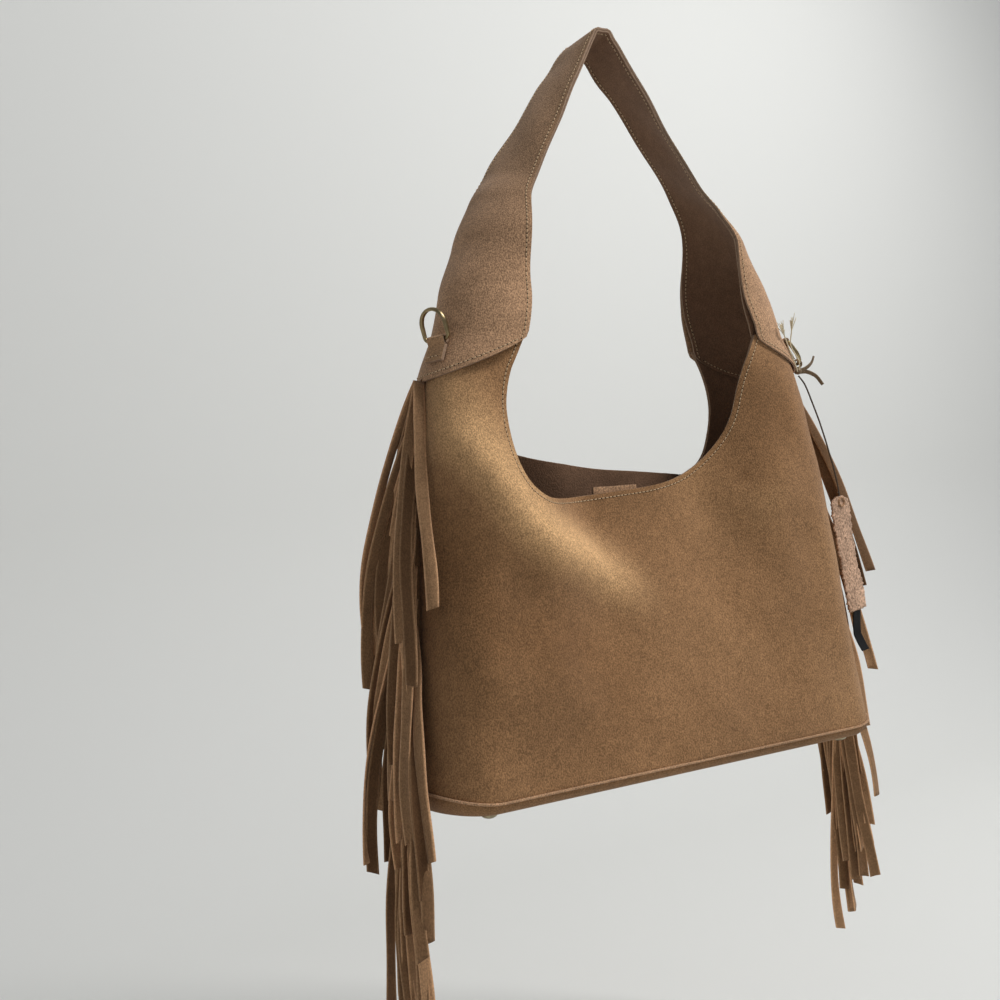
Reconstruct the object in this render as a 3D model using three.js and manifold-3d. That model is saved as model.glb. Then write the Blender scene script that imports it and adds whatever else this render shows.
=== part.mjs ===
// Fringed suede shoulder bag, hanging by its strap.
// Millimetres, +Z up, the front faces -Y. The origin is the underside of the strap at its crown,
// where a hook bears, and heights are given as drops below it.
import * as THREE from 'three';
import { mergeVertices } from 'three/addons/utils/BufferGeometryUtils.js';
import Module from 'manifold-3d';

const wasm = await Module();
wasm.setup();

// Leather and hardware thicknesses
const panelThick = 1.4;
const facingThick = 1.0;
const liningThick = 0.8;
const strapThick = 1.5;
const strapLiningThick = 1.2;
const baseThick = 1.6;
const fringeThick = 1.2;
const loopThick = 1.2;
const clearance = 0.3;
const seamGap = 0.5;

// Body: drops of the main levels, and what the section measures at each
const seamDrop = 511;
const lowDrop = 470;
const bellyDrop = 400;
const mouthDrop = 324;
const tipDrop = 246;
const shoulderDrop = 219;
const baseHalfWidth = 185;
const lowHalfWidth = 179;
const bellyHalfWidth = 172;
const mouthHalfWidth = 166;
const tipHalfWidth = 154;
const shoulderHalfWidth = 143;
const baseHalfDepth = 52;
const lowHalfDepth = 51;
const mouthEndHalfDepth = 46;
const tipHalfDepth = 40;
const shoulderHalfDepth = 37.3;
const lowCentreDepth = 47;
const mouthCentreDepth = 19.4;
const baseCornerReach = 34;
const mouthCornerReach = 38;
const shoulderReach = 46;
const seamEndLift = 7;

// Mouth: how far the two necklines dip below the shoulders, their half widths and how square they are
const neckSettle = 50;
const frontScoop = {
  dip: 104.8, tilt: 5.8, left: { reach: 116.5, square: 7 }, right: { reach: 80.5, square: 2.7 },
};
const backScoop = {
  dip: 89.8, tilt: -8.8, left: { reach: 116.5, square: 2.8 }, right: { reach: 115, square: 5.4 },
};
const facingShare = 0.72;
const liningGapShare = 0.02;

// Strap: stations from the crown down one leg. out and drop place the middle of the band's chord, half is
// half the chord, twist turns the front edge inwards, belly is the depth of the channel, back its set-back.
const crownFlat = 4;
const strapStations = [
  { out: 0, drop: 0, half: 19, twist: 0, belly: 0, back: 3 },
  { out: crownFlat, drop: 0, half: 19.5, twist: 0, belly: 0, back: 3 },
  { out: 9.5, drop: 5.5, half: 20.5, twist: 3, belly: 0.8, back: 4 },
  { out: 19, drop: 20, half: 21.5, twist: 5, belly: 1.5, back: 4 },
  { out: 30.4, drop: 36, half: 21.8, twist: 10, belly: 2, back: 3 },
  { out: 48.4, drop: 64, half: 23, twist: 12.5, belly: 3, back: 2.5 },
  { out: 74.4, drop: 105, half: 26.4, twist: 16.5, belly: 5, back: 2.5 },
  { out: 86.6, drop: 126, half: 31.5, twist: 15, belly: 11, back: 2 },
  { out: 92.2, drop: 154, half: 38.5, twist: 8, belly: 24, back: 0 },
  { out: 91.5, drop: 190, half: 36.5, twist: 1.5, belly: 42, back: 0 },
];
const liningMergeHeight = 14;
const strapLap = 4;
const strapSettle = 45;

// Base, feet and the board over them
const baseHeight = 8;
const baseEdgeInset = 9;
const footInsetX = 35;
const footInsetY = 20;
const footRadius = 6;
const footHeight = 4.2;
const footFlange = 0.8;
const footPostRadius = 1.2;
const washerRadius = 7;
const washerThick = 0.8;
const boardThick = 2;
const boardMargin = 26;
const boardSideMargin = 14;
const boardCorner = 24;
const floorMargin = 11;
const strapSeat = 1.2;

// Rings and their loops
const ringDrop = 220;
const ringForward = 9;
const ringTurn = 20;
const ringBarHalf = 10.2;
const ringHeight = 20;
const ringThick = 2.4;
const ringBand = 3.4;
const ringPlay = 0.45;
const loopHalfWidth = 7.4;
const loopTail = 15;
const leftRingLean = 14;
const rightRingHang = 148;

// Fringe
const fringeTopDrop = 250;
const fringeStrips = 25;
const fringeHeader = 5;
const fringeTuck = 4;
const stripWidth = 7.6;
const stripLength = 158;
const stripSteps = 4;
const stripHold = 2.5;

// Closure tab and magnetic snap behind the front rim
const tabMiddle = -22;
const tabHalfWidth = 18;
const tabTopDrop = 318.5;
const tabLength = 42;
const tabThick = 2.2;
const snapRadius = 8;
const snapThick = 2.4;
const snapDrop = 346;

// Swing tags
const cordRadius = 0.6;
const cordSides = 8;
const patchWidth = 20;
const patchThick = 1.5;
const patchTurn = 8;
const patchLength = 88;
const patchHole = 2;
const patchSlant = -6;
const ribbonLength = 32;
const ribbonWidth = 9;
const ribbonThick = 0.6;
const laceRadius = 1.3;
const laceLoopRadius = 3.1;
const laceLoopThick = 1;
const knotRadius = 3.1;
const knotDrop = 5.6;
const stringRadius = 0.7;

// Finishes, as the photo shows them
const suede = { color: 0xa77f56, roughness: 0.95, metalness: 0 };
const suedeLight = { color: 0xb9966f, roughness: 0.95, metalness: 0 };
const suedeInside = { color: 0x6b5040, roughness: 0.95, metalness: 0 };
const cloth = { color: 0x4a3a30, roughness: 0.9, metalness: 0 };
const card = { color: 0x8b7a64, roughness: 0.9, metalness: 0 };
const agedBrass = { color: 0x8f7b55, roughness: 0.35, metalness: 1 };
const agedSteel = { color: 0xa8a595, roughness: 0.35, metalness: 1 };
const patchSuede = { color: 0xc39a78, roughness: 0.95, metalness: 0 };
const darkThread = { color: 0x4d4034, roughness: 0.9, metalness: 0 };
const blackRibbon = { color: 0x17171a, roughness: 0.7, metalness: 0 };
const paleString = { color: 0xd9cfae, roughness: 0.95, metalness: 0 };

const group = new THREE.Group();

function addNode(name, geometry, finish) {
  const mesh = new THREE.Mesh(geometry, new THREE.MeshStandardMaterial(finish));
  mesh.name = name;
  group.add(mesh);
  return mesh;
}

// Smooth curve through knots that never overshoots them: cubic pieces with harmonic-mean slopes.
function smoothThrough(at, values) {
  const last = at.length - 1;
  const rise = at.slice(1).map((a, i) => (values[i + 1] - values[i]) / (a - at[i]));
  const slope = at.map((_, i) => {
    if (i === 0) return rise[0];
    if (i === last) return rise[last - 1];
    return rise[i - 1] * rise[i] <= 0 ? 0 : (2 * rise[i - 1] * rise[i]) / (rise[i - 1] + rise[i]);
  });
  return (x) => {
    let i = 0;
    while (i < last - 1 && x > at[i + 1]) i += 1;
    const span = at[i + 1] - at[i];
    const t = THREE.MathUtils.clamp((x - at[i]) / span, 0, 1);
    const t2 = t * t;
    const t3 = t2 * t;
    return (2 * t3 - 3 * t2 + 1) * values[i] + (t3 - 2 * t2 + t) * span * slope[i]
      + (3 * t2 - 2 * t3) * values[i + 1] + (t3 - t2) * span * slope[i + 1];
  };
}

const probe = 0.5;
const easeStep = (x, from, to) => THREE.MathUtils.smoothstep(x, from, to);
const radians = THREE.MathUtils.degToRad;

// Body section at a drop: half width, half depth towards the ends and in the middle, and reach of the end
const halfWidthAt = smoothThrough(
  [shoulderDrop, tipDrop, mouthDrop, bellyDrop, lowDrop, seamDrop],
  [shoulderHalfWidth, tipHalfWidth, mouthHalfWidth, bellyHalfWidth, lowHalfWidth, baseHalfWidth],
);
const endDepthAt = smoothThrough(
  [shoulderDrop, tipDrop, mouthDrop, lowDrop, seamDrop],
  [shoulderHalfDepth, tipHalfDepth, mouthEndHalfDepth, lowHalfDepth, baseHalfDepth],
);
const centreDepthAt = smoothThrough(
  [shoulderDrop, mouthDrop, lowDrop, seamDrop],
  [mouthCentreDepth - 4, mouthCentreDepth, lowCentreDepth, baseHalfDepth],
);
const endReachAt = smoothThrough(
  [shoulderDrop, mouthDrop, seamDrop],
  [shoulderReach, mouthCornerReach, baseCornerReach],
);

// Point of the body's outer face: around runs from -1 at the left side seam to 1 at the right one, side
// is -1 on the front and 1 on the back, and gap is how far the face stops from the seam's plane.
function bodyPoint(around, drop, side, gap = fringeThick / 2 + clearance) {
  const width = halfWidthAt(drop);
  const reach = endReachAt(drop);
  const flat = width - reach;
  const span = flat + (reach * Math.PI) / 2;
  const along = Math.abs(around) * span;
  const stop = Math.acos(gap / endDepthAt(drop));
  const turn = Math.max(0, (along - flat) / (span - flat)) * stop;
  const x = along <= flat ? along : flat + reach * Math.sin(turn);
  const share = easeStep(x / width, 0.25, 0.63);
  const depth = THREE.MathUtils.lerp(centreDepthAt(drop), endDepthAt(drop), share);
  return new THREE.Vector3(Math.sign(around) * x, side * depth * Math.cos(turn), -drop);
}

// The seam over the base rises a little towards the side seams.
function seamLift(around) {
  return seamEndLift * easeStep(Math.abs(around), 0.72, 1);
}

// around value of a given x on the flat part or the rounded end
function aroundOf(x, drop) {
  const width = halfWidthAt(drop);
  const reach = endReachAt(drop);
  const flat = width - reach;
  const span = flat + (reach * Math.PI) / 2;
  const size = Math.abs(x);
  const along = size <= flat ? size : flat + Math.asin((size - flat) / reach) * reach;
  return (Math.sign(x) * along) / span;
}

// Half of a neckline as [around, drop] pairs evenly spaced from the shoulder to the middle of the mouth
const neckSteps = 9;
const neckSamples = 60;
function neckHalf(scoop, part, sign) {
  const inward = shoulderHalfWidth - shoulderReach;
  const fine = Array.from({ length: neckSamples + 1 }, (_, i) => {
    const angle = (i / neckSamples) * (Math.PI / 2);
    const x = part.reach * Math.cos(angle) ** (2 / part.square);
    const dip = scoop.dip * Math.sin(angle) ** (2 / part.square);
    const settle = Math.max(0, 1 - dip / neckSettle) ** 2;
    const tilt = scoop.tilt * Math.min(1, x / part.reach * 1.3) * (dip / scoop.dip);
    return [x + (inward - part.reach) * settle, shoulderDrop + dip - sign * tilt];
  });
  const length = fine.map((_, i) => fine.slice(1, i + 1)
    .reduce((sum, p, k) => sum + Math.hypot(p[0] - fine[k][0], p[1] - fine[k][1]), 0));
  return Array.from({ length: neckSteps + 1 }, (_, n) => {
    const target = (length[neckSamples] * n) / neckSteps;
    const k = Math.min(neckSamples - 1, Math.max(0, length.findIndex((value) => value >= target) - 1));
    const t = (target - length[k]) / (length[k + 1] - length[k]);
    const [x, drop] = fine[k].map((value, axis) => THREE.MathUtils.lerp(value, fine[k + 1][axis], t));
    return [sign * aroundOf(x, drop), drop];
  });
}

// Height of the strap end below the shoulder, across the band from -1 at its front edge to 1 at its back
const strapEndDrop = (across) => THREE.MathUtils.lerp(strapLap, tipDrop - shoulderDrop,
  Math.max(0, 1 - across * across) ** 0.8);

// Closed solid between two grids of points of the same size; has tells which cells of the grid are filled
function solidBetween(outer, inner, has = () => true) {
  const rows = outer.length;
  const cols = outer[0].length;
  const positions = [...outer.flat(), ...inner.flat()].flatMap((p) => [p.x, p.y, p.z]);
  const top = (i, j) => i * cols + j;
  const low = (i, j) => rows * cols + i * cols + j;
  const filled = (i, j) => i >= 0 && j >= 0 && i < rows - 1 && j < cols - 1 && has(i, j);
  const faces = [];
  const quad = (a, b, c, d) => faces.push(a, b, c, a, c, d);
  const wall = ([i, j], [k, l]) => quad(top(i, j), low(i, j), low(k, l), top(k, l));
  for (let i = 0; i < rows - 1; i += 1) {
    for (let j = 0; j < cols - 1; j += 1) {
      if (!filled(i, j)) continue;
      quad(top(i, j), top(i, j + 1), top(i + 1, j + 1), top(i + 1, j));
      quad(low(i, j), low(i + 1, j), low(i + 1, j + 1), low(i, j + 1));
      if (!filled(i - 1, j)) wall([i, j], [i, j + 1]);
      if (!filled(i, j + 1)) wall([i, j + 1], [i + 1, j + 1]);
      if (!filled(i + 1, j)) wall([i + 1, j + 1], [i + 1, j]);
      if (!filled(i, j - 1)) wall([i + 1, j], [i, j]);
    }
  }
  return facingOut(positions, faces);
}

// Closed solid over a grid whose rows are closed rings, the first and last ring either joined or capped
function solidOfRings(rings, joined = false) {
  const cols = rings[0].length;
  const positions = rings.flat().flatMap((p) => [p.x, p.y, p.z]);
  const faces = [];
  const last = joined ? rings.length : rings.length - 1;
  for (let i = 0; i < last; i += 1) {
    const next = (i + 1) % rings.length;
    for (let j = 0; j < cols; j += 1) {
      const k = (j + 1) % cols;
      faces.push(i * cols + j, i * cols + k, next * cols + k);
      faces.push(i * cols + j, next * cols + k, next * cols + j);
    }
  }
  if (!joined) {
    for (const [i, flip] of [[0, true], [rings.length - 1, false]]) {
      const centre = rings[i].reduce((sum, p) => sum.add(p), new THREE.Vector3()).divideScalar(cols);
      positions.push(centre.x, centre.y, centre.z);
      const hub = positions.length / 3 - 1;
      for (let j = 0; j < cols; j += 1) {
        const k = (j + 1) % cols;
        faces.push(...(flip ? [hub, i * cols + k, i * cols + j] : [hub, i * cols + j, i * cols + k]));
      }
    }
  }
  return facingOut(positions, faces);
}

// Geometry whose faces point outwards, whichever way round the grid was walked
function facingOut(positions, faces) {
  const corner = (i) => new THREE.Vector3().fromArray(positions, faces[i] * 3);
  let volume = 0;
  for (let i = 0; i < faces.length; i += 3) {
    volume += corner(i).dot(corner(i + 1).cross(corner(i + 2)));
  }
  const order = volume < 0 ? faces.map((_, i) => faces[i - (i % 3) + [0, 2, 1][i % 3]]) : faces;
  const geometry = new THREE.BufferGeometry();
  geometry.setAttribute('position', new THREE.Float32BufferAttribute(positions, 3));
  geometry.setIndex(order);
  const used = mergeVertices(geometry, 1e-4);
  used.computeVertexNormals();
  return used;
}

// Spot on a surface given as a function of two parameters: the point with its normal, found by small steps
function spotOn(surface, u, v, stepU, stepV) {
  const run = surface(u + stepU, v).sub(surface(u - stepU, v));
  const cross = surface(u, v + stepV).sub(surface(u, v - stepV));
  return { point: surface(u, v), normal: run.cross(cross).normalize() };
}

// Grid of spots moved along their normals; distance is a number or a function of the point
function layer(grid, distance) {
  return grid.map((row) => row.map(({ point, normal }) => {
    const far = typeof distance === 'function' ? distance(point) : distance;
    return point.clone().addScaledVector(normal, far);
  }));
}

// Panel grid, from the base seam to the neckline. Its upper rows are only filled on the two horns, whose
// inner edges run along the sides of the mouth; the row under them carries the mouth's lower edge.
const hornColumns = 6;
const hornRows = 4;
const liningRows = 5;
const facingRows = 2;
const bodyRows = liningRows + facingRows;
const columnPull = 26;
const hornCell = (i, j) => i < bodyRows || j < hornColumns || j >= panelColumns - hornColumns;
const panelColumns = 2 * (hornColumns + neckSteps - hornRows);

function panelGrid(scoop, side) {
  const left = neckHalf(scoop, scoop.left, -1);
  const right = neckHalf(scoop, scoop.right, 1);
  const hornRow = (neck, sign) => Array.from({ length: hornColumns }, (_, j) => [
    THREE.MathUtils.lerp(sign, neck[0], j / hornColumns), neck[1]]);
  const rim = [...hornRow(left[hornRows], -1), ...left.slice(hornRows), ...right.slice(hornRows, -1).reverse(),
    ...hornRow(right[hornRows], 1).reverse()];
  const span = halfWidthAt(mouthDrop);
  const body = (v) => rim.map(([rimAround, rimDrop], j) => {
    const before = rim[Math.max(0, j - 1)];
    const after = rim[Math.min(panelColumns, j + 1)];
    const run = new THREE.Vector2((after[0] - before[0]) * span, after[1] - before[1]).normalize();
    const bendAround = rimAround - (run.y * columnPull) / span;
    const around = (1 - v) ** 2 * rimAround + 2 * v * (1 - v) * bendAround + v * v * rimAround;
    const footDrop = seamDrop - seamLift(rimAround);
    const bendDrop = rimDrop + run.x * columnPull * 2;
    return [around, (1 - v) ** 2 * footDrop + 2 * v * (1 - v) * bendDrop + v * v * rimDrop];
  });
  const horns = (k) => [...hornRow(left[k], -1), ...Array.from({ length: panelColumns - 2 * hornColumns + 1 },
    (_, j) => (j < neckSteps - hornRows ? left[k] : right[k])), ...hornRow(right[k], 1).reverse()];
  const flat = [
    ...Array.from({ length: liningRows }, (_, i) => body((facingShare * i) / liningRows)),
    ...Array.from({ length: facingRows + 1 }, (_, i) => body(THREE.MathUtils.lerp(facingShare, 1, i / facingRows))),
    ...Array.from({ length: hornRows }, (_, i) => horns(hornRows - 1 - i)),
  ];
  const face = (around, drop) => bodyPoint(around, drop, side);
  return flat.map((row) => row.map(([around, drop]) => spotOn(
    face, THREE.MathUtils.clamp(around, -1, 1), drop, 0.004, probe)));
}

// Lower rows of a grid, the last one drawn back a little from the facing's edge
function liningPart(grid) {
  const kept = grid.slice(0, liningRows + 1);
  const edge = kept[liningRows].map((p, j) => p.clone().lerp(kept[liningRows - 1][j], liningGapShare));
  return [...kept.slice(0, -1), edge];
}

const underPanel = panelThick + clearance;
const underFacing = underPanel + facingThick;
for (const [name, scoop, side] of [['front', frontScoop, -1], ['back', backScoop, 1]]) {
  const outer = panelGrid(scoop, side);
  const skin = (distance) => layer(outer, -distance * side);
  const facing = [underPanel, underFacing].map((distance) => skin(distance).slice(liningRows));
  const lining = [underPanel, underPanel + liningThick].map((distance) => liningPart(skin(distance)));
  addNode(`${name}_panel`, solidBetween(skin(0), skin(panelThick), hornCell), suede);
  addNode(`${name}_facing`, solidBetween(...facing, (i, j) => hornCell(i + liningRows, j)), suedeInside);
  addNode(`${name}_lining`, solidBetween(...lining), cloth);
}

// Ring of points round the base seam, pushed in by inset, at a height that may rise towards the sides
const ringSteps = 16;
function baseRing(drop, inset, lift) {
  const arounds = [-1, 1].flatMap((side) => Array.from({ length: ringSteps }, (_, j) => [
    side, side * (-1 + (2 * j) / ringSteps)]));
  const ring = arounds.map(([side, around]) => bodyPoint(around, seamDrop, side, 0.01));
  const count = ring.length;
  return ring.map((p, j) => {
    const tangent = ring[(j + 1) % count].clone().sub(ring[(j + count - 1) % count]);
    const inward = new THREE.Vector3(-tangent.y, tangent.x, 0).normalize();
    const point = p.clone().addScaledVector(inward.dot(p) > 0 ? inward.negate() : inward, inset);
    return point.setZ(-drop + (lift * seamLift(arounds[j][1])) / seamEndLift);
  });
}

// Base panel: a shallow tray whose rim meets the seam
{
  const rim = seamDrop + seamGap;
  const floor = seamDrop + baseHeight;
  const tray = (inset, up) => [
    baseRing(rim, inset, seamEndLift),
    baseRing(rim + 3 - up / 2, 0.8 + inset, seamEndLift - 1),
    baseRing(rim + 5.6 - up, 3.2 + inset, seamEndLift - 2),
    baseRing(floor - up, baseEdgeInset + inset, 0),
    baseRing(floor - up, baseEdgeInset * 2.6 + inset / 2, 0),
  ];
  const outer = tray(0, 0);
  const inner = tray(baseThick, baseThick);
  addNode('base_panel', solidOfRings([...outer.reverse(), ...inner]), suede);
}

// Flat piece with rounded corners, its upper face at a drop
function roundedPlate(halfX, halfY, corner, thick, drop) {
  const shape = new THREE.Shape();
  shape.moveTo(-halfX + corner, -halfY);
  shape.absarc(halfX - corner, -halfY + corner, corner, -Math.PI / 2, 0);
  shape.absarc(halfX - corner, halfY - corner, corner, 0, Math.PI / 2);
  shape.absarc(-halfX + corner, halfY - corner, corner, Math.PI / 2, Math.PI);
  shape.absarc(-halfX + corner, -halfY + corner, corner, Math.PI, Math.PI * 1.5);
  const plate = new THREE.ExtrudeGeometry(shape, { depth: thick, bevelEnabled: false, curveSegments: 4 });
  return geometryOf(solidOf(plate.translate(0, 0, -drop - thick)));
}

// Board over the base, on the foot washers, and the lining's floor over it
const boardTop = seamDrop + baseHeight - baseThick - 2 * clearance - washerThick - boardThick;
addNode('base_board', roundedPlate(baseHalfWidth - boardMargin, baseHalfDepth - boardSideMargin, boardCorner,
  boardThick, boardTop), card);
addNode('lining_floor', roundedPlate(baseHalfWidth - floorMargin * 1.4, baseHalfDepth - floorMargin, boardCorner,
  liningThick, boardTop - clearance - liningThick), cloth);

function solidOf(geometry) {
  const bare = geometry.clone();
  for (const key of Object.keys(bare.attributes)) {
    if (key !== 'position') bare.deleteAttribute(key);
  }
  const merged = mergeVertices(bare, 1e-4);
  return new wasm.Manifold(new wasm.Mesh({
    numProp: 3,
    vertProperties: Float32Array.from(merged.attributes.position.array),
    triVerts: Uint32Array.from(merged.index.array),
  }));
}

function geometryOf(solid) {
  const mesh = solid.getMesh();
  const geometry = new THREE.BufferGeometry();
  geometry.setAttribute('position', new THREE.Float32BufferAttribute(mesh.vertProperties, 3));
  geometry.setIndex(Array.from(mesh.triVerts));
  geometry.computeVertexNormals();
  return geometry;
}

// Solid without the pockets that overlapping pieces close off inside it
function outerSkin(solid) {
  return solid.decompose().reduce((best, piece) => (piece.volume() > best.volume() ? piece : best));
}

// Feet: a dome with a flange under the base, a post through it, and a washer inside
{
  const under = -(seamDrop + baseHeight);
  const inside = under + baseThick;
  const postTop = inside + clearance + washerThick + clearance * 0.5;
  const hole = footPostRadius + clearance;
  const places = [['front_left', -1, -1], ['front_right', 1, -1], ['back_left', -1, 1], ['back_right', 1, 1]];
  const profile = [
    new THREE.Vector2(0, postTop), new THREE.Vector2(footPostRadius, postTop),
    new THREE.Vector2(footPostRadius, under - clearance), new THREE.Vector2(footRadius, under - clearance),
    new THREE.Vector2(footRadius, under - clearance - footFlange),
  ];
  for (let k = 1; k <= 3; k += 1) {
    const angle = (k / 3) * (Math.PI / 2);
    profile.push(new THREE.Vector2(footRadius * 0.94 * Math.cos(angle),
      under - clearance - footFlange - (footHeight - footFlange) * Math.sin(angle)));
  }
  const ring = [
    new THREE.Vector2(hole, inside + clearance), new THREE.Vector2(washerRadius, inside + clearance),
    new THREE.Vector2(washerRadius, inside + clearance + washerThick),
    new THREE.Vector2(hole, inside + clearance + washerThick), new THREE.Vector2(hole, inside + clearance),
  ];
  const base = group.children.find((mesh) => mesh.name === 'base_panel');
  let pierced = solidOf(base.geometry);
  for (const [name, sideX, sideY] of places) {
    const place = (geometry) => geometry.rotateX(Math.PI / 2)
      .translate(sideX * (baseHalfWidth - footInsetX), sideY * (baseHalfDepth - footInsetY), 0);
    addNode(`foot_${name}`, place(new THREE.LatheGeometry([...profile].reverse(), 10)), agedSteel);
    addNode(`foot_washer_${name}`, place(new THREE.LatheGeometry(ring, 10)), agedSteel);
    const drill = new THREE.CylinderGeometry(hole, hole, 8, 12).rotateX(Math.PI / 2);
    drill.translate(sideX * (baseHalfWidth - footInsetX), sideY * (baseHalfDepth - footInsetY), under);
    pierced = pierced.subtract(solidOf(drill));
  }
  base.geometry = geometryOf(pierced);
}

// Strap: the band's reference face runs down the horns over the panels and joins both ends over the crown
const legStations = [...strapStations, {
  out: shoulderHalfWidth - shoulderReach, drop: shoulderDrop, half: shoulderHalfDepth, twist: 0,
  belly: shoulderReach, back: 0,
}];
const stationRuns = legStations.map((_, i) => legStations.slice(1, i + 1)
  .reduce((sum, s, k) => sum + Math.hypot(s.out - legStations[k].out, s.drop - legStations[k].drop), 0));
const legLength = stationRuns[stationRuns.length - 1];
const legCurve = Object.fromEntries(Object.keys(strapStations[0]).map((key) => [
  key, smoothThrough(stationRuns, legStations.map((s) => s[key])),
]));

// Point of the band's reference face on the right leg: run is measured from the crown, and past the
// shoulder it follows the body's rounded end.
function strapPoint(run, across) {
  if (run > legLength) {
    const drop = shoulderDrop + run - legLength;
    const reach = endReachAt(drop);
    const flat = halfWidthAt(drop) - reach;
    const turn = (across * Math.PI) / 2;
    return new THREE.Vector3(flat + reach * Math.cos(turn), endDepthAt(drop) * Math.sin(turn), -drop);
  }
  const at = Object.fromEntries(Object.entries(legCurve).map(([key, curve]) => [key, curve(run)]));
  const ahead = Math.min(run + probe, legLength);
  const behind = Math.max(run - probe, 0);
  const slope = new THREE.Vector2(
    legCurve.out(ahead) - legCurve.out(behind), legCurve.drop(ahead) - legCurve.drop(behind)).normalize();
  const settle = easeStep(run, legLength - strapSettle, legLength);
  slope.x *= 1 - settle;
  const lift = (strapLiningThick + clearance / 2) * (1 - settle);
  const channel = Math.min(1, at.belly / at.half);
  const arc = (across * Math.PI) / 2;
  const sideways = at.half * THREE.MathUtils.lerp(across, Math.sin(arc), channel);
  const bulge = at.belly * THREE.MathUtils.lerp(1 - across * across, Math.cos(arc), channel);
  const outward = bulge + sideways * Math.sin(radians(at.twist));
  return new THREE.Vector3(
    at.out + slope.y * outward,
    sideways * Math.cos(radians(at.twist)) + at.back,
    -at.drop + slope.x * outward + lift,
  );
}

const strapLegRows = 12;
const strapEndRows = 3;
const strapAcross = 10;
const strapShoulder = legLength - 1;

// Strap's reference face as spots, row by row from one end over the crown to the other
function strapGrid() {
  const runs = (end) => [
    0, ...Array.from({ length: strapLegRows }, (_, i) => THREE.MathUtils.lerp(
      crownFlat, strapShoulder, i / (strapLegRows - 1))),
    ...Array.from({ length: strapEndRows }, (_, i) => THREE.MathUtils.lerp(
      strapShoulder, end, (i + 1) / strapEndRows)),
  ];
  const columns = Array.from({ length: strapAcross + 1 }, (_, j) => {
    const across = -1 + (2 * j) / strapAcross;
    return runs(legLength + strapEndDrop(across)).map((run) => {
      const spot = spotOn(strapPoint, run, across, probe, 0.02);
      return run > crownFlat ? spot : { point: spot.point, normal: new THREE.Vector3(0, 0, 1) };
    });
  });
  const leg = columns[0].map((_, i) => columns.map((column) => column[i]));
  const flip = (v) => new THREE.Vector3(-v.x, v.y, v.z);
  const mirrored = leg.slice(1).reverse().map((row) => row.map(({ point, normal }) => (
    { point: flip(point), normal: flip(normal) })));
  return [...mirrored, ...leg];
}
{
  const face = strapGrid();
  const aboveHorn = (p) => easeStep(p.z, 1 - shoulderDrop, liningMergeHeight - shoulderDrop);
  const under = (p) => THREE.MathUtils.lerp(underFacing + strapSeat, clearance / 2, aboveHorn(p));
  const over = (p) => THREE.MathUtils.lerp(strapSeat, clearance / 2, aboveHorn(p));
  addNode('strap_outer', solidBetween(layer(face, (p) => over(p) + strapThick), layer(face, over)), suedeLight);
  addNode('strap_lining', solidBetween(layer(face, (p) => -under(p)),
    layer(face, (p) => -under(p) - strapLiningThick)), suedeInside);
}

// Ring loops and rings. Each is made in its own frame, bar along X, outwards along -Y, and then placed.
const loopBore = ringThick / 2 + ringPlay;
const loopOuter = loopBore + loopThick;
function ringSeat(sideX) {
  const across = -Math.asin(ringForward / endDepthAt(ringDrop)) / (Math.PI / 2);
  const p = strapPoint(legLength + ringDrop - shoulderDrop, across);
  const normal = new THREE.Vector3(Math.cos(radians(ringTurn)), -Math.sin(radians(ringTurn)), 0);
  const below = strapPoint(legLength + ringDrop - shoulderDrop + loopTail, across);
  const slope = Math.atan2(below.x - p.x, loopTail);
  const away = (strapSeat + strapThick + loopOuter) / Math.cos(slope) + 2.5 * clearance;
  const seat = p.clone().addScaledVector(normal, away);
  const turn = sideX < 0 ? -Math.PI / 2 + radians(ringTurn) : Math.PI / 2 - radians(ringTurn);
  return { place: new THREE.Vector3(sideX * seat.x, seat.y, seat.z), turn, slope };
}

function loopGeometry() {
  const shape = new THREE.Shape();
  const tailThick = loopThick * 2;
  const back = loopOuter;
  shape.moveTo(back, 0);
  shape.absarc(0, 0, loopOuter, 0, Math.PI);
  shape.lineTo(back - tailThick - 1.2, -loopOuter - 1.5);
  shape.lineTo(back - tailThick, -loopOuter - 4);
  shape.lineTo(back - tailThick, -loopTail);
  shape.lineTo(back, -loopTail);
  const bore = new THREE.Path();
  bore.absarc(0, 0, loopBore, 0, Math.PI * 2, true);
  shape.holes.push(bore);
  const geometry = new THREE.ExtrudeGeometry(shape, {
    depth: loopHalfWidth * 2, bevelEnabled: false, curveSegments: 8,
  });
  // shape x runs inwards (+Y of the loop's frame), shape y runs up
  geometry.translate(0, 0, -loopHalfWidth);
  geometry.applyMatrix4(new THREE.Matrix4().makeBasis(
    new THREE.Vector3(0, 1, 0), new THREE.Vector3(0, 0, 1), new THREE.Vector3(1, 0, 0)));
  return geometry;
}

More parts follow.
